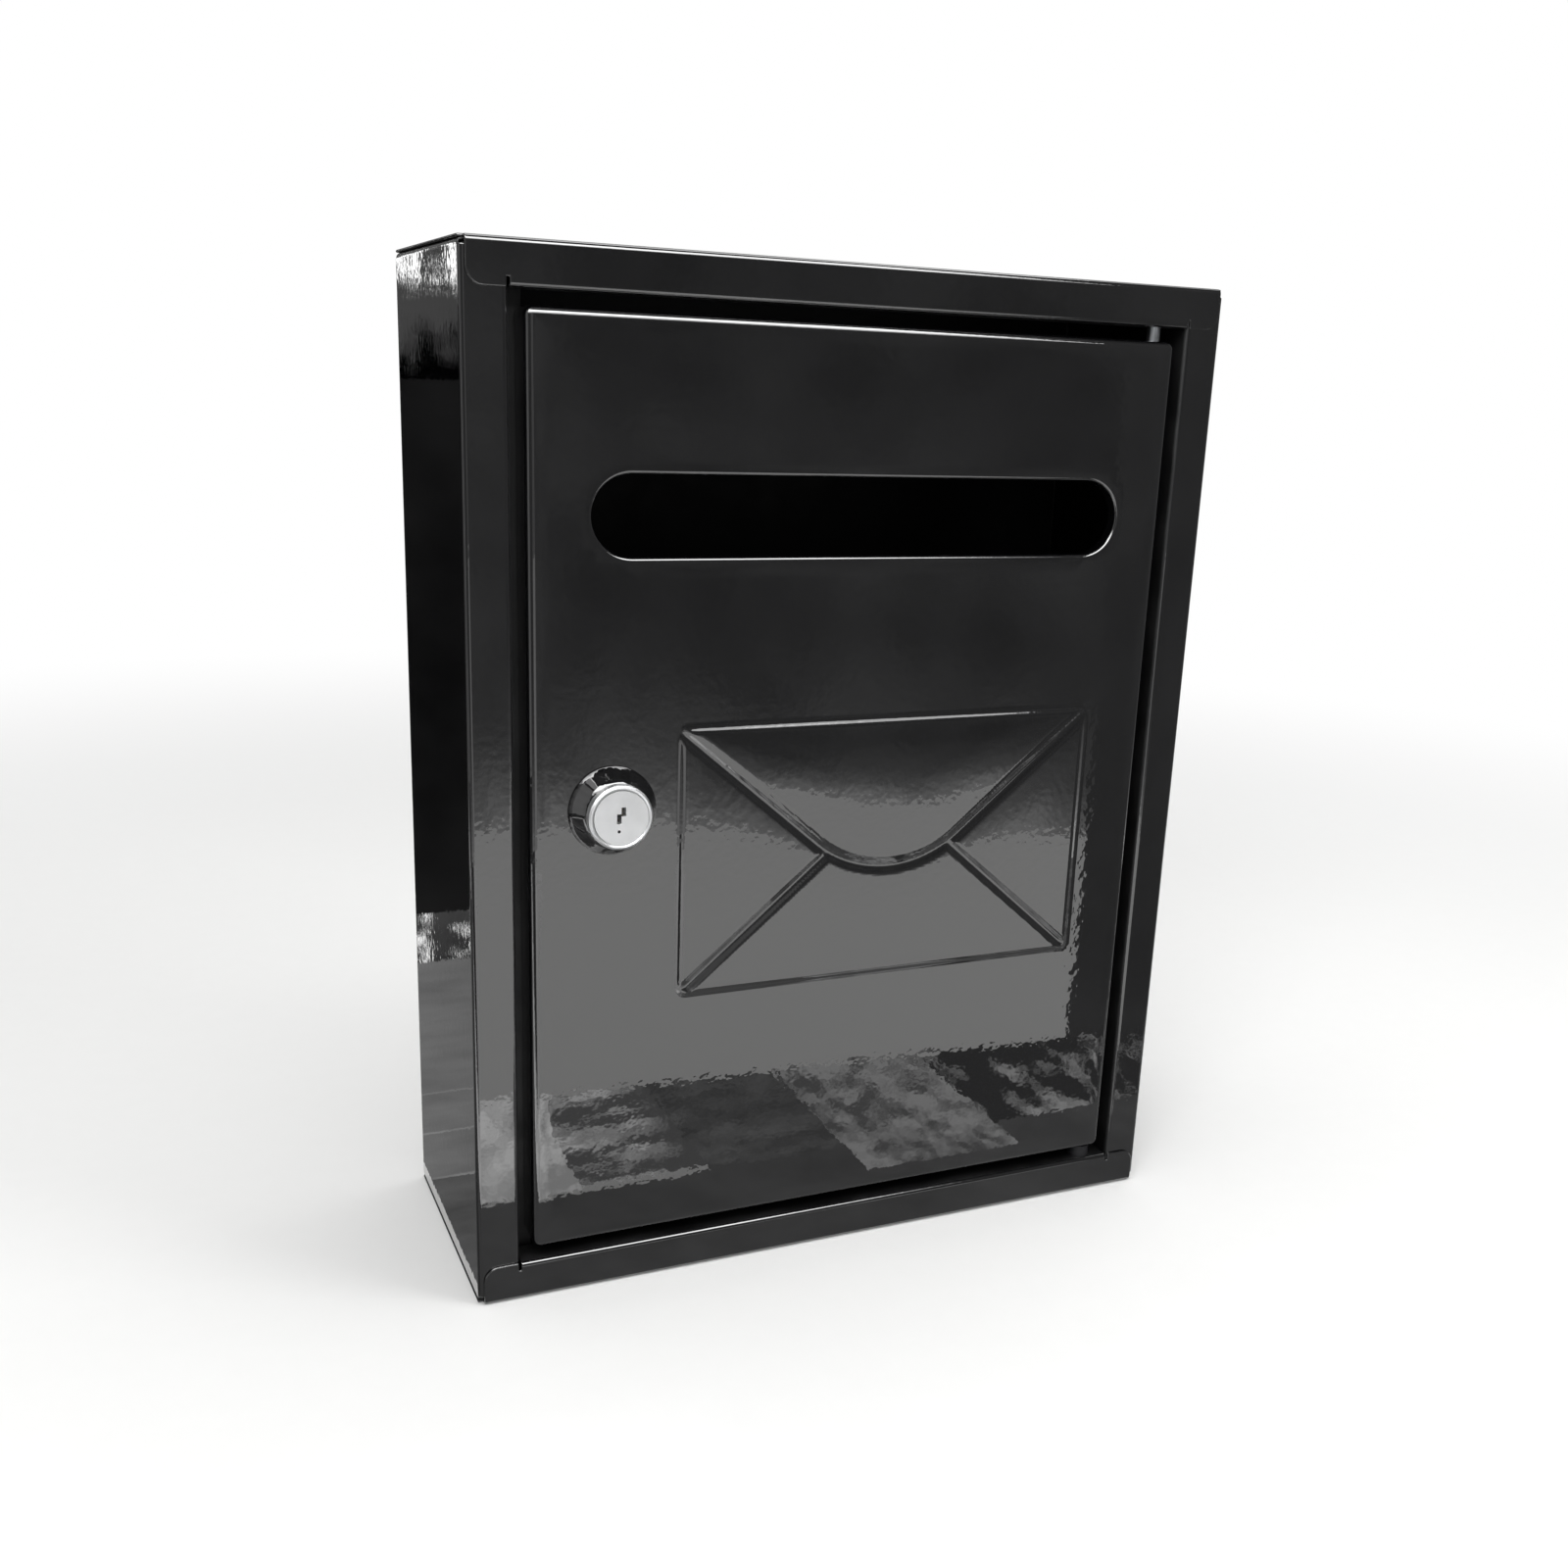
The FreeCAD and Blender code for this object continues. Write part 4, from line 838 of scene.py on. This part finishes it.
def stamped_brass(finish):
    """Stamped brass strip: warm metal with slight tarnish."""
    material, tree, shader, place = start_material("stamped_brass")
    cloud = noise(tree, place, 2 * MM, 2.0)
    dark = tuple(c * 0.7 for c in finish.brass)
    tree.links.new(tint(tree, cloud, dark, tuple(finish.brass)), shader.inputs["Base Color"])
    tree.links.new(vary(tree, cloud, 0.2, 0.35), shader.inputs["Roughness"])
    shader.inputs["Metallic"].default_value = 1.0
    return material


def material_for(name, maker):
    """Material of this name, made once."""
    found = bpy.data.materials.get(name)
    return found or maker(bpy.context.scene.post_box_finish)


def enamel():
    return material_for("baked_gloss_enamel", gloss_enamel)


def thin_enamel():
    return material_for("baked_enamel_overspray", thin_coat)


def chrome():
    return material_for("satin_chrome_plate", bright_chrome)


def zinc():
    return material_for("zinc_plated_steel", plated_zinc)


def nylon():
    return material_for("moulded_nylon", moulded_nylon)


def brass():
    return material_for("stamped_brass", stamped_brass)


# Operators

class POSTBOX_OT_box(bpy.types.Operator):
    """Folded box: wrap, top and bottom sheets"""

    bl_idname = "post_box.box"
    bl_label = "Folded Box"

    def execute(self, context):
        sizes = context.scene.post_box_box
        for node in ("wrap_panel", "top_panel", "bottom_panel"):
            piece = smooth_copy(node, enamel(), edge=sizes.edge)
            dull_inside(piece, thin_enamel())
        marks = weld_marks(sizes, context.scene.post_box_door.gauge, thin_enamel())
        new_piece("weld_marks", marks, "box", thin_enamel())
        return {"FINISHED"}


class POSTBOX_OT_door(bpy.types.Operator):
    """Pressed door with posting slot and raised envelope"""

    bl_idname = "post_box.door"
    bl_label = "Pressed Door"

    def execute(self, context):
        sizes = context.scene.post_box_door
        drill = hinge_drill(sizes)

        def prepare(holder):
            wall = holder.modifiers.new("Sheet", "SOLIDIFY")
            wall.thickness = sizes.gauge
            wall.offset = -1
            wall.use_even_offset = True
            wall.material_offset = 1
            holes = holder.modifiers.new("Hinge holes", "BOOLEAN")
            holes.operation = "DIFFERENCE"
            holes.object = drill

        skin = door_mesh(sizes)
        for material in (enamel(), thin_enamel()):
            skin.materials.append(material)
        mesh = settled(skin, prepare)
        bpy.data.objects.remove(drill)
        inner = [face.material_index for face in mesh.polygons]
        mesh.set_sharp_from_angle(angle=math.radians(40))
        piece = new_piece("door_pressing", mesh, "door", enamel(), "door_panel")
        mesh.materials.append(thin_enamel())
        mesh.polygons.foreach_set("material_index", [min(index, 1) for index in inner])
        return {"FINISHED"}


class POSTBOX_OT_lock(bpy.types.Operator):
    """Cam lock with its collar, nut, washers, latch arm and wafers"""

    bl_idname = "post_box.lock"
    bl_label = "Cam Lock"

    def execute(self, context):
        sizes = context.scene.post_box_lock
        smooth_copy("lock_collar", enamel())
        smooth_copy("lock_housing", chrome(), reshape=cut_root(sizes))
        plug = smooth_copy("lock_plug", chrome(), angle=15)
        darken_mark(plug, sizes.mark_drop, nylon())
        start = DOOR_FACE + MM
        turns = int((HOUSING_HIGH.y - sizes.thread_end - start) / sizes.pitch * 2)
        thread = run_tree(thread_tree(), {
            "Radius": sizes.root, "Flat": sizes.flat, "Pitch": sizes.pitch, "Half turns": turns,
            "Ridge": sizes.barrel - sizes.root - 0.02 * MM, "Start": (LOCK_CENTRE.x, start, LOCK_CENTRE.z),
            "Material": chrome(),
        })
        new_piece("barrel_thread", thread, body_of("lock_housing"), chrome())
        for node in ("lock_washer", "lock_nut", "stop_washer", "lock_cam", "cam_spring_washer", "cam_screw"):
            smooth_copy(node, zinc())
        for node in sorted(frame["nodes"]):
            if node.startswith("wafer_"):
                smooth_copy(node, brass())
        return {"FINISHED"}


class POSTBOX_OT_hinge(bpy.types.Operator):
    """Hinge pins with their clips and the ring under the door"""

    bl_idname = "post_box.hinge"
    bl_label = "Pin Hinge"

    def execute(self, context):
        for node in ("upper_hinge_pin", "lower_hinge_pin", "upper_pin_clip", "lower_pin_clip"):
            smooth_copy(node, zinc())
        smooth_copy("hinge_spacer", nylon())
        return {"FINISHED"}


class POSTBOX_OT_stage(bpy.types.Operator):
    """Pale floor, dark curtain, soft lamps and the camera"""

    bl_idname = "post_box.stage"
    bl_label = "Studio"

    def execute(self, context):
        studio = context.scene.post_box_studio
        make_floor(studio)
        make_flags()
        make_world()
        make_lamps()
        make_camera(studio)
        context.scene.view_settings.view_transform = "Standard"
        return {"FINISHED"}


# Studio

def seen_rays(tree):
    """1 for camera, glossy and transmission rays, which see the white background."""
    path = add_node(tree, "ShaderNodeLightPath")
    first = add_node(tree, "ShaderNodeMath", {"operation": "MAXIMUM"},
                     i0=path.outputs["Is Camera Ray"], i1=path.outputs["Is Glossy Ray"])
    return add_node(tree, "ShaderNodeMath", {"operation": "MAXIMUM"},
                    i0=first.outputs[0], i1=path.outputs["Is Transmission Ray"]).outputs[0]


def make_floor(studio):
    """Floor that keeps the shadow near the box and fades to plain white further out."""
    half = 6.0
    mesh = bpy.data.meshes.new("studio_floor")
    corners = [(-half, -half, FLOOR_Z), (half, -half, FLOOR_Z), (half, half, FLOOR_Z), (-half, half, FLOOR_Z)]
    mesh.from_pydata(corners, [], [(0, 1, 2, 3)])
    floor = bpy.data.objects.new("studio_floor", mesh)
    bpy.context.scene.collection.objects.link(floor)
    material, tree, shader, place = start_material("painted_studio_floor")
    grain = noise(tree, place, 8 * MM)
    pale = tuple(studio.floor)
    tree.links.new(tint(tree, grain, tuple(c * 0.985 for c in pale), pale), shader.inputs["Base Color"])
    shader.inputs["Roughness"].default_value = 0.9
    shader.inputs["Specular IOR Level"].default_value = 0.1
    distance = add_node(tree, "ShaderNodeVectorMath", {"operation": "LENGTH"}, i0=place).outputs["Value"]
    far = add_node(tree, "ShaderNodeMapRange", {"From Min": 0.35, "From Max": 1.1, "interpolation_type": "SMOOTHSTEP"},
                   Value=distance).outputs["Result"]
    share = add_node(tree, "ShaderNodeMath", {"operation": "MULTIPLY"}, i0=far, i1=seen_rays(tree)).outputs[0]
    white = add_node(tree, "ShaderNodeEmission", {"Color": (1, 1, 1, 1), "Strength": 1.0})
    mixed = add_node(tree, "ShaderNodeMixShader", None, i0=share, i1=shader.outputs[0], i2=white.outputs[0])
    output = [node for node in tree.nodes if node.type == "OUTPUT_MATERIAL"][0]
    tree.links.new(mixed.outputs[0], output.inputs["Surface"])
    mesh.materials.append(material)


def glow(name, dark, pale, width, stretch=(1, 1, 1), low=0.3, high=0.7, fade=None):
    """Stage material of a brightness between two levels, in soft patches about width metres across.

    The patches sink to the dark level over the span of X that fade gives.
    """
    material, tree, shader, place = start_material(name)
    tree.nodes.remove(shader)
    wide = add_node(tree, "ShaderNodeMapping", {"Scale": stretch}, Vector=place).outputs[0]
    patch = noise(tree, wide, width, 4.0, 0.6)
    level = add_node(
        tree, "ShaderNodeMapRange", {"From Min": low, "From Max": high, "To Min": dark, "To Max": pale}, Value=patch
    ).outputs["Result"]
    if fade:
        across = add_node(tree, "ShaderNodeSeparateXYZ", Vector=place).outputs["X"]
        share = add_node(
            tree, "ShaderNodeMapRange",
            {"From Min": fade[0], "From Max": fade[1], "To Min": 1.0, "To Max": 0.0}, Value=across,
        ).outputs["Result"]
        level = calculate(tree, "MULTIPLY_ADD", calculate(tree, "SUBTRACT", level, dark), share, dark)
    shine(tree, level)
    return material


def shine(tree, level):
    """Leads a brightness to the output as plain white light."""
    light = add_node(tree, "ShaderNodeEmission", {"Color": (1, 1, 1, 1)}, Strength=level)
    output = [node for node in tree.nodes if node.type == "OUTPUT_MATERIAL"][0]
    tree.links.new(light.outputs[0], output.inputs["Surface"])


def curtain_cloth():
    """Dark curtain seen only in the gloss, with painted light from the floor glowing at its foot."""
    material, tree, shader, place = start_material("curtain_cloth")
    tree.nodes.remove(shader)
    height = calculate(tree, "SUBTRACT", add_node(tree, "ShaderNodeSeparateXYZ", Vector=place).outputs["Z"], FLOOR_Z)
    fold = calculate(tree, "MULTIPLY", calculate(tree, "SUBTRACT", noise(tree, place, 40 * MM, 3.0), 0.5), 60 * MM)
    fall = calculate(tree, "DIVIDE", calculate(tree, "ADD", height, fold), -28 * MM)
    # Painted light from the floor: a glow at the foot of the curtain that fades upwards through ragged folds.
    foot = calculate(tree, "MULTIPLY", calculate(tree, "EXPONENT", fall), 0.62)
    cloud = vary(tree, noise(tree, place, 90 * MM, 4.0), 0.08, 0.17)
    shine(tree, calculate(tree, "ADD", calculate(tree, "MINIMUM", foot, 0.9), cloud))
    return material


def add_flag(name, corners, material):
    """Studio flag through its corners, seen only in the gloss of the box."""
    mesh = bpy.data.meshes.new(name)
    mesh.from_pydata(corners, [], [tuple(range(len(corners)))])
    mesh.materials.append(material)
    only_in_gloss(name, mesh)


def only_in_gloss(name, mesh):
    """Stage object that only reflections show."""
    flag = bpy.data.objects.new(name, mesh)
    bpy.context.scene.collection.objects.link(flag)
    flag.visible_camera = False
    flag.visible_diffuse = False
    flag.visible_transmission = False
    flag.visible_shadow = False


def add_hoop(name, low, high, arc, material):
    """Curved curtain or light panel between two levels, each a radius and a height, over an arc in degrees."""
    steps = 48
    first, last = (math.radians(angle) for angle in arc)
    verts = []
    for radius, height in (low, high):
        for index in range(steps + 1):
            angle = first + (last - first) * index / steps
            verts.append((radius * math.cos(angle), radius * math.sin(angle), height))
    above = steps + 1
    mesh = bpy.data.meshes.new(name)
    mesh.from_pydata(verts, [], [(i, i + 1, above + i + 1, above + i) for i in range(steps)])
    mesh.materials.append(material)
    only_in_gloss(name, mesh)


def standing(x0, x1, y0, y1, low, high):
    """Corners of an upright flag from one plan point to another."""
    return [(x0, y0, low), (x1, y1, low), (x1, y1, high), (x0, y0, high)]


def lying(x0, x1, y0, y1, level):
    """Corners of a level cloth or panel."""
    return [(x0, y0, level), (x1, y0, level), (x1, y1, level), (x0, y1, level)]


def side_patches(name, low, grey, grey_span, white, white_span, middle, share):
    """Stage material that the side of the box mirrors: grey from one height and white patches from another."""
    material, tree, shader, place = start_material(name)
    tree.nodes.remove(shader)
    axes = add_node(tree, "ShaderNodeSeparateXYZ", Vector=place).outputs
    height = calculate(tree, "SUBTRACT", axes["Z"], low)
    aside = calculate(tree, "ABSOLUTE", calculate(tree, "ADD", axes["X"], 165 * MM))
    narrow = add_node(tree, "ShaderNodeMapping", {"Scale": (3.0, 1.0, 1.0)}, Vector=place).outputs[0]
    patch = noise(tree, narrow, 14 * MM, 4.0, 0.65)

    def between(value, first, last, highest):
        return add_node(
            tree, "ShaderNodeMapRange", {"From Min": first, "From Max": last, "To Max": highest}, Value=value
        ).outputs["Result"]

    ragged = calculate(tree, "MULTIPLY_ADD", calculate(tree, "SUBTRACT", patch, 0.5), 70 * MM, height)
    dim = between(ragged, *grey_span, grey)
    bright = calculate(tree, "MULTIPLY", between(patch, share, share + 0.05, white), between(ragged, *white_span, 1.0))
    bright = calculate(tree, "MULTIPLY", bright, between(aside, *middle, 1.0))
    shine(tree, calculate(tree, "ADD", dim, bright))
    return material


def make_flags():
    """Dark curtain round the set, flags, cloths on the floor and light panels, which the gloss reflects."""
    add_hoop("curtain", (0.59, FLOOR_Z), (0.59, 0.62), (0, 360), curtain_cloth())
    front_arc = (-155, -52)
    add_hoop("upper_soft_light", (0.585, 0.33), (0.55, 0.42), front_arc, glow("soft_panel", 2.4, 3.2, 0.3))
    add_hoop("upper_light", (0.55, 0.42), (0.34, 0.54), front_arc, glow("bright_panel", 7.0, 9.0, 0.3))

    left, front = CAD_BOX[0].x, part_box("bottom_panel")[0].y
    side, behind, foot_top, dark_top = left - 10 * MM, 0.205, FLOOR_Z + 0.024, 0.1116
    seam, near = -5 * MM, -0.143
    upright = (
        ("right_flag", standing(0.184, 0.56, -0.234, -0.234, FLOOR_Z, 0.165), (0.09, 0.16, 120)),
        ("side_flag", standing(-0.54, side, behind, behind, foot_top, dark_top), (0.002, 0.016, 90)),
        ("upper_flag", lying(-0.4, 0.55, -0.37, -0.05, 0.615), (0.04, 0.1, 200)),
        ("front_left_light", standing(-0.253, -0.074, -0.507, -0.577, FLOOR_Z, 0.02), (0.55, 0.8, 200)),
        ("front_left_shade", standing(-0.253, -0.074, -0.507, -0.577, 0.02, 0.32), (0.25, 0.4, 200)),
        ("far_left_foot", standing(-0.49, -0.575, -0.312, -0.02, FLOOR_Z, FLOOR_Z + 0.05), (0.05, 0.12, 200)),
        ("far_left_light", standing(-0.49, -0.575, -0.312, -0.02, FLOOR_Z + 0.05, 0.5), (0.4, 0.6, 200)),
    )
    for name, corners, (dark, pale, width) in upright:
        add_flag(name, corners, glow(name + "_cloth", dark, pale, width * MM))
    add_flag(
        "side_band", standing(-0.54, side, behind, behind, dark_top, 0.173),
        side_patches("side_band_patches", dark_top, 0.08, (8 * MM, 24 * MM), 2.4, (40 * MM, 50 * MM), (1.5 * MM, 3 * MM), 0.49),
    )
    add_flag(
        "side_foot", standing(-0.54, side, behind, behind, FLOOR_Z, foot_top),
        side_patches("side_foot_patches", FLOOR_Z, 0.07, (-20 * MM, 20 * MM), 1.3, (2 * MM, 8 * MM), (6 * MM, 7 * MM), 0.55),
    )

    def edge_y(x):
        return -0.216 + 0.08 * x

    cloths = (
        ("side", lying(-0.5, left - 2 * MM, seam, behind, FLOOR_Z), (0.15, 0.24, 30), (0.5, 1, 1), (0.3, 0.7)),
        ("side_near", lying(-0.5, left - 2 * MM, front, seam, FLOOR_Z), (0.08, 0.15, 20), (0.5, 1, 1), (0.3, 0.7)),
        ("near", lying(-0.5, 0.5, near, front - 0.5 * MM, FLOOR_Z), (0.18, 0.3, 50), (1, 1, 1), (0.3, 0.7)),
    )
    for name, corners, (dark, pale, width), stretch, span in cloths:
        add_flag(name + "_cloth", raised(corners), glow(name + "_grey", dark, pale, width * MM, stretch, *span))
    for number, y in enumerate((0.0627, 0.0297, -0.0045), 1):
        corners = lying(-0.5, left - 2 * MM, y - MM, y + 0.5 * MM, FLOOR_Z + 0.3 * MM)
        add_flag("floor_seam_%d" % number, raised(corners), glow("floor_seam_line", 0.2, 0.3, 20 * MM))
    # Glowing strips just over the floor, seen only in the gloss of the box: painted reflections in the foot of the
    # door. The fourth strip is a mottled patch of painted reflection and lies a little over its neighbours.
    strips = (
        ("pale", -0.5, -0.068, -0.145, 1.1, 2.2, 25, (1, 0.7, 1), (0.4, 0.6), None),
        ("shiny", -0.068, -0.022, -0.147, 0.3, 2.2, 17, (0.5, 1.6, 1), (0.46, 0.7), (-0.04, -0.024)),
        ("dim", -0.022, 0.03, near, 0.2, 0.4, 20, (0.7, 1.5, 1), (0.4, 0.65), None),
        ("mottled_reflection", 0.03, 0.092, -0.124, 0.3, 0.95, 12, (1, 0.8, 1), (0.4, 0.6), None),
        ("far", 0.092, 0.5, near, 0.12, 1.1, 22, (1.5, 0.7, 1), (0.5, 0.66), None),
    )
    for name, x0, x1, y, dark, pale, width, stretch, span, fade in strips:
        corners = [(x0, edge_y(x0), FLOOR_Z), (x1, edge_y(x1), FLOOR_Z), (x1, y, FLOOR_Z), (x0, y, FLOOR_Z)]
        lift = 0.2 * MM if name == "mottled_reflection" else 0
        corners = [(px, py, pz + lift) for px, py, pz in corners]
        cloth = glow(name + "_cloth_grey", dark, pale, width * MM, stretch, *span, fade)
        add_flag(name + "_cloth", raised(corners), cloth)
    foot = [
        (0.163, edge_y(0.163), FLOOR_Z), (0.184, -0.236, FLOOR_Z),
        (0.56, -0.236, FLOOR_Z), (0.56, edge_y(0.56), FLOOR_Z),
    ]
    add_flag("right_foot_cloth", raised(foot), glow("right_foot_grey", 0.09, 0.16, 120 * MM))
    wedge = [(-0.113, -0.207, FLOOR_Z), (-0.29, -0.5, FLOOR_Z), (-0.03, -0.5, FLOOR_Z), (-0.105, -0.207, FLOOR_Z)]
    add_flag("left_floor_light", raised(wedge), glow("left_floor_white", 1.0, 1.4, 0.2))
    wedge = [(-0.13, -0.207, FLOOR_Z), (-0.5, -0.207, FLOOR_Z), (-0.5, -0.45, FLOOR_Z), (-0.30, -0.5, FLOOR_Z)]
    add_flag("left_floor_flag", raised(wedge), glow("left_floor_dark", 0.06, 0.12, 0.1))


def raised(corners):
    """These corners just clear of the floor."""
    return [(x, y, z + 0.3 * MM) for x, y, z in corners]


def make_world():
    """Even room light, white where it is seen."""
    world = bpy.data.worlds.new("studio_room")
    bpy.context.scene.world = world
    world.use_nodes = True
    tree = world.node_tree
    tree.nodes.clear()
    level = add_node(tree, "ShaderNodeMapRange", {"To Min": 0.45, "To Max": 1.0}, Value=seen_rays(tree))
    light = add_node(tree, "ShaderNodeBackground", {"Color": (1, 1, 1, 1)}, Strength=level.outputs["Result"])
    add_node(tree, "ShaderNodeOutputWorld", Surface=light.outputs[0])


def add_lamp(name, place, target, width, height, power):
    """Soft area lamp that faces a target."""
    data = bpy.data.lights.new(name, "AREA")
    data.shape = "RECTANGLE"
    data.size = width
    data.size_y = height
    data.energy = power
    lamp = bpy.data.objects.new(name, data)
    bpy.context.scene.collection.objects.link(lamp)
    lamp.location = place
    lamp.rotation_euler = (Vector(target) - Vector(place)).to_track_quat("-Z", "Y").to_euler()


def make_lamps():
    """Overhead softbox, and a smaller one at each side of the camera."""
    add_lamp("overhead", (0.0, -0.15, 1.1), (0, -0.05, 0), 1.4, 1.0, 9)
    add_lamp("front_left", (-0.9, -1.1, 0.9), (0, 0, 0), 0.6, 0.6, 8)
    add_lamp("front_right", (1.0, -0.9, 0.8), (0, 0, 0), 0.6, 0.6, 6)


def make_camera(studio):
    """Camera at the photographed view."""
    data = bpy.data.cameras.new("view")
    data.lens = studio.lens
    data.sensor_width = 36
    data.shift_x, data.shift_y = studio.shift
    data.clip_start, data.clip_end = 0.01, 50
    camera = bpy.data.objects.new("view", data)
    bpy.context.scene.collection.objects.link(camera)
    camera.location = studio.camera_place
    camera.rotation_euler = Euler(studio.camera_turn, "XYZ")
    bpy.context.scene.camera = camera


class POSTBOX_PT_panel(bpy.types.Panel):
    """Lists the pieces of the post box"""

    bl_idname = "POSTBOX_PT_panel"
    bl_label = "Post Box"
    bl_space_type = "VIEW_3D"
    bl_region_type = "UI"
    bl_category = "Post Box"

    def draw(self, context):
        for operator in OPERATORS:
            self.layout.operator(operator.bl_idname)


OPERATORS = (POSTBOX_OT_box, POSTBOX_OT_door, POSTBOX_OT_lock, POSTBOX_OT_hinge, POSTBOX_OT_stage)
GROUPS = {
    "post_box_box": PostBoxBoxSizes, "post_box_door": PostBoxDoorSizes, "post_box_lock": PostBoxLockSizes,
    "post_box_finish": PostBoxFinish, "post_box_studio": PostBoxStudio,
}


def register():
    for group in GROUPS.values():
        bpy.utils.register_class(group)
    for operator in OPERATORS:
        bpy.utils.register_class(operator)
    bpy.utils.register_class(POSTBOX_PT_panel)
    for name, group in GROUPS.items():
        setattr(bpy.types.Scene, name, bpy.props.PointerProperty(type=group))


def unregister():
    for name in GROUPS:
        delattr(bpy.types.Scene, name)
    bpy.utils.unregister_class(POSTBOX_PT_panel)
    for operator in reversed(OPERATORS):
        bpy.utils.unregister_class(operator)
    for group in reversed(list(GROUPS.values())):
        bpy.utils.unregister_class(group)


def main():
    """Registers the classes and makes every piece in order."""
    register()
    bpy.ops.post_box.box()
    bpy.ops.post_box.door()
    bpy.ops.post_box.lock()
    bpy.ops.post_box.hinge()
    bpy.ops.post_box.stage()


if __name__ == "__main__":
    main()
